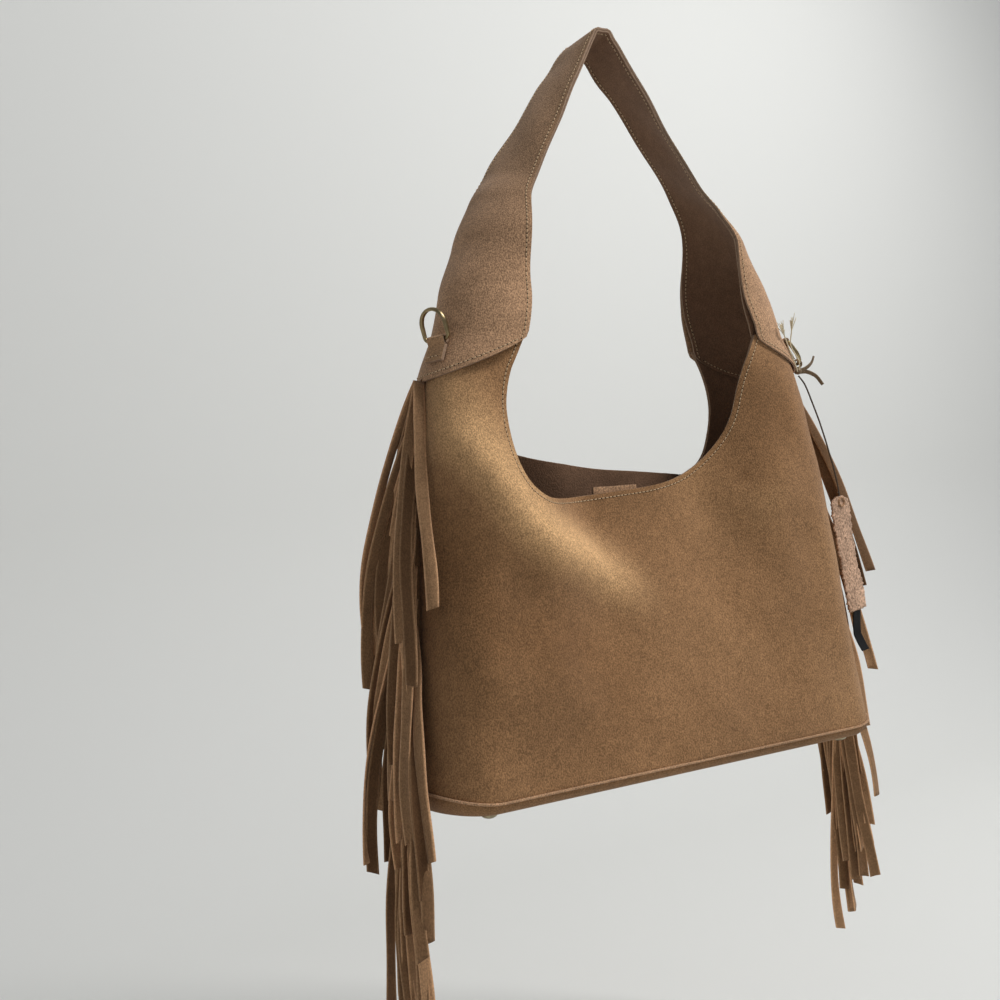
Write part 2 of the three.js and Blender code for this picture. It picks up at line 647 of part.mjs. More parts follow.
// Closed D path: a straight bar and an arch over it, as points with their outward directions
function ringGeometry() {
  const rings = [];
  const bend = 3;
  const spots = [];
  for (let k = -1; k <= 1; k += 1) spots.push([k * (ringBarHalf - bend), 0, 0, -1]);
  for (let k = 1; k <= 2; k += 1) {
    const angle = -Math.PI / 2 + (k / 3) * (Math.PI / 2);
    spots.push([ringBarHalf - bend + bend * Math.cos(angle), bend + bend * Math.sin(angle),
      Math.cos(angle), Math.sin(angle)]);
  }
  const archBase = ringHeight - ringBarHalf;
  for (let k = 0; k <= 10; k += 1) {
    const angle = (k / 10) * Math.PI;
    spots.push([ringBarHalf * Math.cos(angle), archBase + ringBarHalf * Math.sin(angle),
      Math.cos(angle), Math.sin(angle)]);
  }
  for (let k = 2; k >= 1; k -= 1) {
    const angle = -Math.PI / 2 - (k / 3) * (Math.PI / 2);
    spots.push([-(ringBarHalf - bend) + bend * Math.cos(angle), bend + bend * Math.sin(angle),
      Math.cos(angle), Math.sin(angle)]);
  }
  for (const [x, z, nx, nz] of spots) {
    const bar = Math.abs(nz + 1) < 1e-6;
    const band = (bar ? ringThick : ringBand) / 2;
    const ring = [];
    for (let k = 0; k < 8; k += 1) {
      const angle = ((k + 0.5) / 8) * Math.PI * 2;
      const out = Math.cos(angle) * (ringThick / 2);
      ring.push(new THREE.Vector3(x + nx * out, Math.sin(angle) * band, z + nz * out));
    }
    rings.push(ring);
  }
  return solidOfRings(rings, true);
}

const seats = { left: ringSeat(-1), right: ringSeat(1) };
for (const [name, lean] of [['left', leftRingLean], ['right', rightRingHang]]) {
  const { place, turn, slope } = seats[name];
  const settle = (geometry) => geometry.rotateZ(turn).translate(place.x, place.y, place.z);
  addNode(`${name}_ring_loop`, settle(loopGeometry().rotateX(-slope)), suede);
  addNode(`${name}_ring`, settle(ringGeometry().rotateX(radians(lean))), agedBrass);
}

// Fringe: one suede piece for each side seam, with its header sewn in the seam and strips that hang from it
function mulberry(seed) {
  let state = seed;
  return () => {
    state = (state + 0x6d2b79f5) | 0;
    let t = Math.imul(state ^ (state >>> 15), 1 | state);
    t = (t + Math.imul(t ^ (t >>> 7), 61 | t)) ^ t;
    return ((t ^ (t >>> 14)) >>> 0) / 4294967296;
  };
}

const fringeBottomDrop = seamDrop - seamEndLift - 2 * clearance;

function fringeHeaderGeometry() {
  const rows = 10;
  const outer = [];
  const inner = [];
  for (let i = 0; i <= rows; i += 1) {
    const drop = THREE.MathUtils.lerp(fringeTopDrop, fringeBottomDrop, i / rows);
    const fold = halfWidthAt(drop);
    const pair = (y) => [new THREE.Vector3(fold - fringeTuck, y, -drop),
      new THREE.Vector3(fold + fringeHeader, y, -drop)];
    outer.push(pair(-fringeThick / 2));
    inner.push(pair(fringeThick / 2));
  }
  return solidBetween(outer, inner);
}

// One strip: it leaves the header, bends down and hangs, spread outwards and across by its own amounts
function stripGeometry(drop, length, spread, across, sway, turn) {
  const root = fringeHeader + stripWidth / 2 - stripHold;
  const outer = [];
  const inner = [];
  for (let i = 0; i <= stripSteps; i += 1) {
    const share = i / stripSteps;
    const fall = easeStep(share, 0, 0.34);
    const level = drop + length * share;
    const x = halfWidthAt(level) + root + spread * fall + sway * share * share;
    const y = across * easeStep(share, 0, 0.5);
    const z = -level;
    const angle = turn * easeStep(share, 0.02, 0.4);
    const widthDir = new THREE.Vector3(Math.cos(angle), Math.sin(angle), 0);
    const faceDir = new THREE.Vector3(-Math.sin(angle), Math.cos(angle), 0);
    const middle = new THREE.Vector3(x, y, z);
    const point = (w, t) => middle.clone().addScaledVector(widthDir, (w * stripWidth) / 2)
      .addScaledVector(faceDir, (t * fringeThick) / 2);
    outer.push([point(-1, -1), point(1, -1)]);
    inner.push([point(-1, 1), point(1, 1)]);
  }
  return solidBetween(outer, inner);
}

for (const [name, sign, seed] of [['left_fringe', -1, 7], ['right_fringe', 1, 19]]) {
  const random = mulberry(seed);
  const solids = [solidOf(fringeHeaderGeometry())];
  for (let k = 0; k < fringeStrips; k += 1) {
    const share = k / (fringeStrips - 1);
    const drop = THREE.MathUtils.lerp(fringeTopDrop + 1, fringeBottomDrop - 6, share);
    const spread = 8.5 * ((k * 2) % 5) * (1 - 0.45 * share) + 2 * random();
    const across = (((k * 7) % 11) - 5) * 2.5 + (random() - 0.5);
    const sway = (random() - 0.4) * -7;
    const turn = (random() - 0.5) * 0.7;
    const length = stripLength + 26 * share + 14 * (random() - 0.5);
    solids.push(solidOf(stripGeometry(drop, length, spread, across, sway, turn)));
  }
  const geometry = geometryOf(outerSkin(wasm.Manifold.union(solids)));
  if (sign < 0) {
    geometry.scale(-1, 1, 1);
    const index = Array.from(geometry.index.array);
    geometry.setIndex(index.map((_, i) => index[i - (i % 3) + [0, 2, 1][i % 3]]));
    geometry.computeVertexNormals();
  }
  addNode(name, geometry, suede);
}

// Closure tab behind the front rim, with one half of a magnetic snap on it and the other on the back facing
function frontInside(x, drop, under) {
  const p = bodyPoint(aroundOf(x, drop), drop, -1);
  return p.setY(p.y + under * 1.06);
}
const tabUnder = underFacing + clearance;
{
  const outer = [];
  const inner = [];
  for (let i = 0; i <= 6; i += 1) {
    const drop = tabTopDrop + (tabLength * i) / 6;
    const half = tabHalfWidth * Math.sqrt(1 - Math.max(0, (i - 3) / 3.6) ** 2);
    const cells = [-1, -0.5, 0, 0.5, 1].map((w) => [tabMiddle + w * half, drop]);
    outer.push(cells.map(([x, d]) => frontInside(x, d, tabUnder)));
    inner.push(cells.map(([x, d]) => frontInside(x, d, tabUnder + tabThick)));
  }
  addNode('closure_tab', solidBetween(outer, inner), suedeLight);
}
for (const [name, side] of [['snap_front', -1], ['snap_back', 1]]) {
  const p = bodyPoint(aroundOf(tabMiddle, snapDrop), snapDrop, side);
  const near = bodyPoint(aroundOf(tabMiddle, snapDrop + 5), snapDrop + 5, side);
  const lean = Math.atan2((near.y - p.y) * side, 5);
  const under = side < 0 ? tabUnder + tabThick + clearance : underFacing + clearance;
  const disc = new THREE.CylinderGeometry(snapRadius, snapRadius, snapThick, 16);
  disc.rotateX(-side * lean * -1);
  const depth = Math.abs(p.y) - (under + snapThick / 2) / Math.cos(lean) - 0.35;
  disc.translate(tabMiddle, side * depth, -snapDrop);
  addNode(name, disc, agedBrass);
}

// Swing tags, hanging from the right ring: spots are [outwards, to the back, up] from the ring's lowest middle
const tagSpot = (() => {
  const { place, turn } = seats.right;
  const outward = new THREE.Vector3(Math.sin(turn), -Math.cos(turn), 0);
  const toBack = new THREE.Vector3(Math.cos(turn), Math.sin(turn), 0);
  const hang = radians(rightRingHang);
  const foot = place.clone().addScaledVector(outward, Math.sin(hang) * ringHeight);
  foot.z += Math.cos(hang) * ringHeight;
  return ([out, back, up]) => foot.clone().addScaledVector(outward, out).addScaledVector(toBack, back)
    .add(new THREE.Vector3(0, 0, up));
})();

// Cord route from the knot to the patch's upper edge
const cordRoute = [
  [0, 0, -9.2], [0.4, -0.1, -12], [1.6, -0.6, -17], [3.4, -1.4, -23], [5.6, -2.4, -30], [8, -3.6, -38],
  [10.2, -4.8, -46], [12.2, -6, -54], [14, -7, -62], [15.6, -8, -70], [17, -8.8, -78], [18, -9.6, -86],
  [18.8, -10.2, -93], [19.3, -10.6, -99], [19.5, -10.8, -104],
].map(tagSpot);

function tube(points, radius, sides, steps) {
  const shape = new THREE.Shape();
  for (let k = 0; k < sides; k += 1) {
    const angle = (k / sides) * Math.PI * 2;
    const x = radius * Math.cos(angle);
    const y = radius * Math.sin(angle);
    if (k === 0) shape.moveTo(x, y);
    else shape.lineTo(x, y);
  }
  return new THREE.ExtrudeGeometry(shape, {
    steps, extrudePath: new THREE.CatmullRomCurve3(points), bevelEnabled: false,
  });
}
addNode('tag_cord', tube(cordRoute, cordRadius, cordSides, 24), darkThread);

// Lace: a knot under the ring with two tails, and a loop through the ring
{
  const knotAt = tagSpot([0, 0, -knotDrop]);
  const knot = new THREE.SphereGeometry(knotRadius, 10, 6).translate(knotAt.x, knotAt.y, knotAt.z);
  const tailOut = tube([[1, -1, -5.4], [6, -1, -4], [11, -1, 0], [13.5, -1, 5]].map(tagSpot), laceRadius, 6, 6);
  const tailDown = tube([[1, 1, -6], [8, 1.4, -6.4], [15, 1.6, -10], [20, 1.4, -17]].map(tagSpot),
    laceRadius, 6, 6);
  const turns = (count) => Array.from({ length: count }, (_, k) => (k / count) * Math.PI * 2);
  const loop = solidOfRings(turns(12).map((angle) => turns(6).map((turn) => {
    const out = laceLoopRadius + laceLoopThick * Math.cos(turn);
    return tagSpot([Math.cos(angle) * out, laceLoopThick * Math.sin(turn), Math.sin(angle) * out]);
  })), true);
  const pieces = [knot, tailOut, tailDown, loop].map(solidOf);
  addNode('lace_knot', geometryOf(wasm.Manifold.union(pieces)), suedeLight);
}

// Patch: a rough suede strip with a round eyelet, hanging from the cord, turned half outwards
{
  const top = cordRoute[cordRoute.length - 1];
  const half = patchWidth / 2;
  const shape = new THREE.Shape();
  shape.moveTo(-half + 5, 0);
  shape.lineTo(half - 5, 0);
  shape.lineTo(half, -5);
  shape.lineTo(half + 0.8, -45);
  shape.lineTo(half - 0.4, -patchLength);
  shape.lineTo(-half + 0.5, -patchLength + 1.4);
  shape.lineTo(-half - 0.6, -48);
  shape.lineTo(-half, -5);
  const eyelet = new THREE.CylinderGeometry(patchHole, patchHole, patchThick * 4, 12).rotateX(Math.PI / 2)
    .translate(0, -5, 0);
  const hang = (geometry) => geometry.rotateX(Math.PI / 2).rotateY(radians(patchSlant))
    .rotateZ(radians(patchTurn)).translate(top.x, top.y, top.z - clearance);
  const patch = new THREE.ExtrudeGeometry(shape, { depth: patchThick, bevelEnabled: false, curveSegments: 8 });
  patch.translate(0, 0, -patchThick / 2);
  addNode('suede_patch', hang(geometryOf(solidOf(patch).subtract(solidOf(eyelet)))), patchSuede);

  // Ribbon: a short black tape under the patch, its lower end turned up
  const outer = [];
  const inner = [];
  for (let i = 0; i <= 8; i += 1) {
    const share = i / 8;
    const z = -patchLength - clearance - ribbonLength * share + 5 * Math.max(0, share - 0.7) ** 2;
    const off = 4.5 * Math.sin(share * 2.2) - 9 * Math.max(0, share - 0.6);
    const skew = 3 * share;
    const pair = (t) => [new THREE.Vector3(-ribbonWidth / 2 + skew, off + t, z),
      new THREE.Vector3(ribbonWidth / 2 + skew, off + t, z)];
    outer.push(pair(-ribbonThick / 2));
    inner.push(pair(ribbonThick / 2));
  }
  const ribbon = solidBetween(outer, inner);
  addNode('black_ribbon', ribbon.rotateY(radians(patchSlant)).rotateZ(radians(patchTurn))
    .translate(top.x, top.y, top.z - clearance), blackRibbon);
}

// Frayed ends of a pale string, standing up from the knot in front of the ring and clear of the strap
const stringRoutes = {
  left: [[-2, -3.6, -6.2], [-6.8, -12.8, -4.3], [-14.6, -23.5, 8.3], [-19, -31, 20.6], [-20.2, -33.9, 30.3]],
  right: [[-0.5, -4.05, -5.1], [-4.8, -13.8, 0.7], [-14.2, -23.8, 12.8], [-11.6, -30, 22], [-8.6, -34.3, 31.4]],
};
for (const [side, route] of Object.entries(stringRoutes)) {
  addNode(`string_end_${side}`, tube(route.map(tagSpot), stringRadius, 6, 8), paleString);
}

export default group;
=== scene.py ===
import math

import bpy
import numpy as np
from mathutils import Matrix, Vector


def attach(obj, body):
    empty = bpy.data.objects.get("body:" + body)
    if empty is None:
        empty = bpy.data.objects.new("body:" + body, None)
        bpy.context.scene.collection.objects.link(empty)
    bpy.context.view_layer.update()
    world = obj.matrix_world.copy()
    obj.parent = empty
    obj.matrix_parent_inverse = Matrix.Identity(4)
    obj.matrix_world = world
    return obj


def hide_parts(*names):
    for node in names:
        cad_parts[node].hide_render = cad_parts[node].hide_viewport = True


# Fringed suede shoulder bag, hanging by its strap. Metres, +Z up, the front faces -Y. The origin is the
# underside of the strap at its crown, and heights are drops below it.
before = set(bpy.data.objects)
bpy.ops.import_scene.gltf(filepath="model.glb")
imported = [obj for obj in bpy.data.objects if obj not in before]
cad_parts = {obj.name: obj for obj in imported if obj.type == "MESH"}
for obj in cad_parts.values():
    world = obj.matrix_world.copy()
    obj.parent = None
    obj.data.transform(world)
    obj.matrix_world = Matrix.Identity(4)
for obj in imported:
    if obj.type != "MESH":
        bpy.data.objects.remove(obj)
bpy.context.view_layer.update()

# Camera at the photograph's place
camera = {
    "place": (-0.4873, -0.6747, -0.3444),
    "azimuth": -29.49,
    "elevation": -1.40,
    "roll": -4.75,
    "focal": 41.73,
}


def makeCamera():
    azimuth, elevation, roll = (math.radians(camera[key]) for key in ("azimuth", "elevation", "roll"))
    level = math.cos(elevation)
    back = Vector((math.sin(azimuth) * level, -math.cos(azimuth) * level, math.sin(elevation)))
    sideways = (-back).cross(Vector((0, 0, 1))).normalized()
    upright = sideways.cross(-back)
    right = math.cos(roll) * sideways + math.sin(roll) * upright
    up = -math.sin(roll) * sideways + math.cos(roll) * upright
    data = bpy.data.cameras.new("photo_camera")
    data.sensor_width = 36
    data.lens = camera["focal"]
    data.clip_start = 0.01
    lens = bpy.data.objects.new("photo_camera", data)
    axes = Matrix((right, up, back)).transposed().to_4x4()
    lens.matrix_world = Matrix.Translation(camera["place"]) @ axes
    bpy.context.collection.objects.link(lens)
    bpy.context.scene.camera = lens


makeCamera()
print("camera made")


# Materials: every one is a Principled shader with procedural colour and bump in object coordinates
def newMaterial(name, color, roughness, metallic=0.0, sheen=0.0):
    material = bpy.data.materials.new(name)
    material.use_nodes = True
    shader = material.node_tree.nodes["Principled BSDF"]
    shader.inputs["Base Color"].default_value = (*color, 1)
    shader.inputs["Roughness"].default_value = roughness
    shader.inputs["Metallic"].default_value = metallic
    shader.inputs["Specular IOR Level"].default_value = 0.5 if metallic else 0.12
    shader.inputs["Sheen Weight"].default_value = sheen
    shader.inputs["Sheen Roughness"].default_value = 0.45
    shader.inputs["Sheen Tint"].default_value = (*[0.5 + 0.5 * c for c in color], 1)
    return material, shader


# Noise texture in object coordinates, stretched by the given factors
def noiseNode(material, scale, detail=2.0, stretch=(1, 1, 1)):
    nodes, links = material.node_tree.nodes, material.node_tree.links
    coordinates = nodes.new("ShaderNodeTexCoord")
    mapping = nodes.new("ShaderNodeMapping")
    mapping.inputs["Scale"].default_value = stretch
    noise = nodes.new("ShaderNodeTexNoise")
    noise.inputs["Scale"].default_value = scale
    noise.inputs["Detail"].default_value = detail
    links.new(coordinates.outputs["Object"], mapping.inputs["Vector"])
    links.new(mapping.outputs["Vector"], noise.inputs["Vector"])
    return noise.outputs["Fac"]


# Colour that runs from dark to light as the value runs from low to high, through a middle colour if given
def rampNode(material, value, dark, light, low, high, middle=None):
    ramp = material.node_tree.nodes.new("ShaderNodeValToRGB")
    ramp.color_ramp.elements[0].position = low
    ramp.color_ramp.elements[1].position = high
    ramp.color_ramp.elements[0].color = (*dark, 1)
    ramp.color_ramp.elements[1].color = (*light, 1)
    if middle:
        ramp.color_ramp.elements.new((low + high) / 2).color = (*middle, 1)
    material.node_tree.links.new(value, ramp.inputs["Fac"])
    return ramp.outputs["Color"]


# First colour times the second
def productNode(material, first, second):
    mix = material.node_tree.nodes.new("ShaderNodeMix")
    mix.data_type = "RGBA"
    mix.blend_type = "MULTIPLY"
    mix.inputs["Factor"].default_value = 1.0
    material.node_tree.links.new(first, mix.inputs["A"])
    material.node_tree.links.new(second, mix.inputs["B"])
    return mix.outputs["Result"]


def bumpNode(material, shader, heights, strength, depth):
    bump = material.node_tree.nodes.new("ShaderNodeBump")
    bump.inputs["Strength"].default_value = strength
    bump.inputs["Distance"].default_value = depth
    material.node_tree.links.new(heights, bump.inputs["Height"])
    material.node_tree.links.new(bump.outputs["Normal"], shader.inputs["Normal"])


def shade(color, factor):
    return tuple(min(1.0, c * factor) for c in color)


# Suede: brushed patches a few centimetres wide, finer clouds in them, and a grain of short fibres
def suedeMaterial(name, color, mottle=0.07, grain=0.2, fibre=1250):
    material, shader = newMaterial(name, color, 0.92, sheen=0.22)
    dark, light = 1 - mottle, 1 + mottle
    patches = noiseNode(material, 15, 2)
    mottles = rampNode(material, patches, shade(color, dark), shade(color, light), 0.36, 0.64)
    clouds = rampNode(material, noiseNode(material, 150, 3), (dark,) * 3, (light,) * 3, 0.34, 0.66)
    fibres = noiseNode(material, fibre, 2, (1, 1, 0.7))
    grains = rampNode(material, fibres, (1 - grain,) * 3, (1 + grain,) * 3, 0.36, 0.66)
    toned = productNode(material, productNode(material, mottles, clouds), grains)
    material.node_tree.links.new(toned, shader.inputs["Base Color"])
    bumpNode(material, shader, fibres, 0.8, 0.0005)
    return material


# The same suede, darker and lighter by the piece's own tone attribute
def tonedSuede(name, color, dark, light, grain):
    material = suedeMaterial(name, color, grain=grain)
    nodes, links = material.node_tree.nodes, material.node_tree.links
    shader = nodes["Principled BSDF"]
    toned = shader.inputs["Base Color"].links[0].from_socket
    attribute = nodes.new("ShaderNodeAttribute")
    attribute.attribute_name = "tone"
    ramp = rampNode(material, attribute.outputs["Fac"], dark, light, 0.0, 1.0, middle=(1, 1, 1))
    links.new(productNode(material, toned, ramp), shader.inputs["Base Color"])
    return material


# Any other finish: one noise for the colour and the bump
def plainMaterial(name, color, roughness, grain=0.2, scale=600, metallic=0.0, depth=0.0002, sheen=0.0):
    material, shader = newMaterial(name, color, roughness, metallic, sheen)
    noise = noiseNode(material, scale, 3)
    toned = rampNode(material, noise, shade(color, 1 - grain), shade(color, 1 + grain), 0.3, 0.7)
    material.node_tree.links.new(toned, shader.inputs["Base Color"])
    bumpNode(material, shader, noise, 0.4, depth)
    return material


tan = (0.318, 0.172, 0.080)
paleTan = (0.44, 0.262, 0.15)
tonedSuedes = {
    # color, dark, light, grain
    "strip_suede": ((0.315, 0.180, 0.092), (0.32, 0.27, 0.23), (2.3, 2.3, 2.4), 0.2),
    # panel_suede: its tone runs from painted shade through the suede's colour to painted highlight
    "panel_suede": (tan, (0.46, 0.39, 0.31), (2.35, 2.65, 2.75), 0.34),
    "strap_suede": (paleTan, (0.42, 0.42, 0.36), (1.6, 1.6, 1.6), 0.4),
}
suedes = {
    # color, mottle, grain, fibre
    # base_suede: the panel's tan darkened as painted shade on the underside
    "base_suede": (shade(tan, 0.8), 0.07, 0.3),
    "loop_suede": ((0.41, 0.24, 0.128), 0.07, 0.3),
    "suede_light": (paleTan, 0.08, 0.4),
    # suede_inside: the inner faces' own colour, darkened further as painted shade
    "suede_inside": ((0.205, 0.115, 0.068),),
    "patch_suede": ((0.60, 0.385, 0.26), 0.14, 0.4, 800),
    "lace_suede": ((0.21, 0.15, 0.095),),
}
plains = {
    # color, roughness, grain, scale, metallic, depth, sheen
    "cut_edge": ((0.30, 0.20, 0.135), 0.8),
    "lining_cloth": ((0.07, 0.045, 0.032), 0.85, 0.2, 1500),
    "stiffener": ((0.25, 0.19, 0.12), 0.9),
    "aged_brass": ((0.34, 0.26, 0.14), 0.34, 0.25, 160, 1.0, 0.00005),
    "aged_steel": ((0.34, 0.29, 0.19), 0.3, 0.2, 200, 1.0, 0.00005),
    "thread": ((0.62, 0.45, 0.28), 0.75, 0.15, 1500),
    # needle_hole: painted shade of the needle holes
    "needle_hole": ((0.05, 0.03, 0.018), 0.95),
    "dark_thread": ((0.085, 0.062, 0.045), 0.85, 0.3, 1500),
    "black_tape": ((0.012, 0.012, 0.013), 0.6, 0.2, 1800),
    "pale_string": ((0.72, 0.64, 0.45), 0.9, 0.15, 1500, 0.0, 0.0002, 0.3),
}
finishes = {}
for maker, table in ((tonedSuede, tonedSuedes), (suedeMaterial, suedes), (plainMaterial, plains)):
    for name, values in table.items():
        finishes[name] = maker(name, *values)
print("materials made")


# Smooth curve through knots that never overshoots: cubic pieces whose slopes are harmonic means
def smoothThrough(at, values):
    at, values = np.array(at, float), np.array(values, float)
    rise = np.diff(values) / np.diff(at)
    same = rise[:-1] * rise[1:] > 0
    total = np.where(same, rise[:-1] + rise[1:], 1)
    slope = np.concatenate([[rise[0]], np.where(same, 2 * rise[:-1] * rise[1:] / total, 0), [rise[-1]]])

    def curve(x):
        i = np.clip(np.searchsorted(at, x, side="left") - 1, 0, len(at) - 2)
        span = at[i + 1] - at[i]
        t = np.clip((x - at[i]) / span, 0, 1)
        t2, t3 = t * t, t * t * t
        return ((2 * t3 - 3 * t2 + 1) * values[i] + (t3 - 2 * t2 + t) * span * slope[i]
                + (3 * t2 - 2 * t3) * values[i + 1] + (t3 - t2) * span * slope[i + 1])

    return curve


def easeStep(x, start, end):
    t = np.clip((x - start) / (end - start), 0, 1)
    return t * t * (3 - 2 * t)


def lerp(a, b, t):
    return a + (b - a) * t


def unit(vectors):
    return vectors / np.maximum(np.linalg.norm(vectors, axis=-1, keepdims=True), 1e-12)


def circle(count, shift=0):
    return (np.arange(count) + shift) / count * 2 * np.pi


# Mesh object from points and faces, on a body and with the nodes that it replaces
def addMesh(name, points, faces, materials, body="bag", replaces=(), slot=None, faceMaterial=None):
    points = np.asarray(points, float).reshape(-1, 3)
    mesh = bpy.data.meshes.new(name)
    mesh.from_pydata(points.tolist(), [], [list(map(int, face)) for face in faces])
    if faceMaterial is not None:
        mesh.polygons.foreach_set("material_index", np.asarray(faceMaterial, np.int32))
    mesh.polygons.foreach_set("use_smooth", np.full(len(mesh.polygons), True))
    for material in materials:
        mesh.materials.append(finishes[material])
    mesh.update()
    obj = bpy.data.objects.new(name, mesh)
    bpy.context.collection.objects.link(obj)
    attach(obj, body)
    if replaces:
        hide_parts(*replaces)
    return obj


def setTone(obj, tone):
    layer = obj.data.attributes.new("tone", "FLOAT", "POINT")
    layer.data.foreach_set("value", np.asarray(tone, np.float32))


# Volume enclosed by quads, positive when they face outwards: the sum of tetrahedra from the origin
def enclosedVolume(points, quads):
    a, b, c, d = (points[quads[:, k]] for k in range(4))
    return (np.einsum("ij,ij->i", a, np.cross(b, c)) + np.einsum("ij,ij->i", a, np.cross(c, d))).sum() / 6


# Closed shell between an outer and an inner grid; filled tells which cells of the grid exist
def addShell(name, outer, inner, material, edge="cut_edge", filled=None, bevel=0.0003, tone=None, **options):
    rows, cols = outer.shape[:2]
    if filled is None:
        filled = np.ones((rows - 1, cols - 1), bool)
    index = np.arange(rows * cols).reshape(rows, cols)
    corners = [index[:-1, :-1], index[:-1, 1:], index[1:, 1:], index[1:, :-1]]
    top = np.stack(corners, -1)[filled]
    low = top[:, ::-1] + rows * cols
    padded = np.pad(filled, 1)
    walls = []
    for k, (di, dj) in enumerate(((-1, 0), (0, 1), (1, 0), (0, -1))):
        open_ = filled & ~padded[1 + di:rows + di, 1 + dj:cols + dj]
        a, b = corners[k][open_], corners[(k + 1) % 4][open_]
        walls.append(np.stack([a, a + rows * cols, b + rows * cols, b], -1))
    walls = np.concatenate(walls)
    quads = np.concatenate([top, low, walls])
    points = np.concatenate([outer.reshape(-1, 3), inner.reshape(-1, 3)])
    if enclosedVolume(points, quads) < 0:
        quads = quads[:, ::-1]
    used, quads = np.unique(quads, return_inverse=True)
    quads = quads.reshape(-1, 4)
    kinds = np.concatenate([np.zeros(len(top) + len(low), int), np.ones(len(walls), int)])
    obj = addMesh(name, points[used], quads, [material, edge], faceMaterial=kinds, **options)
    if tone is not None:
        setTone(obj, np.concatenate([tone.ravel(), tone.ravel()])[used])
    if bevel:
        rounding = obj.modifiers.new("rounded_edge", "BEVEL")
        rounding.width = bevel
        rounding.segments = 2
        rounding.limit_method = "ANGLE"
        rounding.angle_limit = math.radians(50)
    return obj


# Faces of a tube: quads between its rings of points, and one face on each end of an open one
def tubeFaces(rings, sides, closed=False):
    index = np.arange(rings * sides).reshape(rings, sides)
    after = np.roll(index, -1, 0) if closed else index[1:]
    before = index if closed else index[:-1]
    quads = np.stack([before, np.roll(before, -1, 1), np.roll(after, -1, 1), after], -1)
    faces = quads.reshape(-1, 4).tolist()
    if not closed:
        faces.append(index[0][::-1].tolist())
        faces.append(index[-1].tolist())
    return faces


# Rings of points with the faces of their tube, turned outwards
def tubePart(section, closed=False):
    faces = tubeFaces(section.shape[0], section.shape[1], closed)
    quads = np.array([face for face in faces if len(face) == 4])
    if enclosedVolume(section.reshape(-1, 3), quads) < 0:
        faces = [face[::-1] for face in faces]
    return section, faces


# Directions across a path, carried along it with as little turning as its bends allow
def pathFrames(path, start=(0, 0, 1)):
    tangent = unit(np.gradient(path, axis=0))
    normals = np.empty_like(path)
    normal = np.array(start, float)
    for k, direction in enumerate(tangent):
        normal = normal - direction * normal.dot(direction)
        normal /= np.linalg.norm(normal)
        normals[k] = normal
    return normals, np.cross(tangent, normals)


# Tube round a path, with a section of half sizes wide (across) and thick (along the carried normal)
def tubePoints(path, wide, thick, sides=8, start=(0, 0, 1), turn=0.0, power=1.0):
    normals, across = pathFrames(path, start)
    turn = np.broadcast_to(turn, len(path))[:, None]
    first = normals * np.cos(turn) + across * np.sin(turn)
    second = across * np.cos(turn) - normals * np.sin(turn)
    angle = circle(sides, 0.5)
    ca, sa = np.cos(angle), np.sin(angle)
    ca, sa = np.sign(ca) * np.abs(ca) ** power, np.sign(sa) * np.abs(sa) ** power
    thick = np.broadcast_to(thick, len(path))[:, None, None]
    wide = np.broadcast_to(wide, len(path))[:, None, None]
    return (path[:, None] + first[:, None] * ca[:, None] * thick
            + second[:, None] * sa[:, None] * wide)


# Smooth path through a few points: Catmull-Rom pieces sampled evenly
def smoothPath(points, count):
    points = np.array(points, float)
    padded = np.concatenate([[2 * points[0] - points[1]], points, [2 * points[-1] - points[-2]]])
    s = np.linspace(0, len(points) - 1 - 1e-9, count)
    i, t = s.astype(int), (s % 1)[:, None]
    a, b, c, d = (padded[i + k] for k in range(4))
    square, cube = 2 * a - 5 * b + 4 * c - d, 3 * b - a - 3 * c + d
    return 0.5 * (2 * b + (c - a) * t + square * t ** 2 + cube * t ** 3)


# Several closed parts as one mesh
def joinParts(parts):
    points, faces, start = [], [], 0
    for partPoints, partFaces in parts:
        partPoints = np.asarray(partPoints).reshape(-1, 3)
        points.append(partPoints)
        faces += [[start + k for k in face] for face in partFaces]
        start += len(partPoints)
    return np.concatenate(points), faces


# Body of the bag, with the same levels as the solids
body = {
    "seamDrop": 0.511, "lowDrop": 0.470, "bellyDrop": 0.400, "mouthDrop": 0.324, "tipDrop": 0.246,
    "shoulderDrop": 0.219, "panelThick": 0.0014, "facingThick": 0.001, "liningThick": 0.0008,
    "gap": 0.0003, "sideGap": 0.0009, "seamEndLift": 0.007, "facingShare": 0.72, "columnPull": 0.026,
    "neckSettle": 0.05, "hornInner": 0.097,
}
frontScoop = {"dip": 0.1048, "tilt": 0.0058, "left": (0.1165, 7.0), "right": (0.0805, 2.7)}
backScoop = {"dip": 0.0898, "tilt": -0.0088, "left": (0.1165, 2.8), "right": (0.115, 5.4)}
drops = [body[key] for key in ("shoulderDrop", "tipDrop", "mouthDrop", "bellyDrop", "lowDrop", "seamDrop")]
halfWidthAt = smoothThrough(drops, [0.143, 0.154, 0.166, 0.172, 0.179, 0.185])
endDepthAt = smoothThrough([drops[k] for k in (0, 1, 2, 4, 5)], [0.0373, 0.040, 0.046, 0.051, 0.052])
centreDepthAt = smoothThrough([drops[k] for k in (0, 2, 4, 5)], [0.0154, 0.0194, 0.047, 0.052])
endReachAt = smoothThrough([drops[k] for k in (0, 2, 5)], [0.046, 0.038, 0.034])


# Half width, reach of the rounded end, half length of the flat part, and half of the way round
def halfSection(drop):
    width, reach = halfWidthAt(drop), endReachAt(drop)
    flat = width - reach
    return width, reach, flat, flat + reach * np.pi / 2


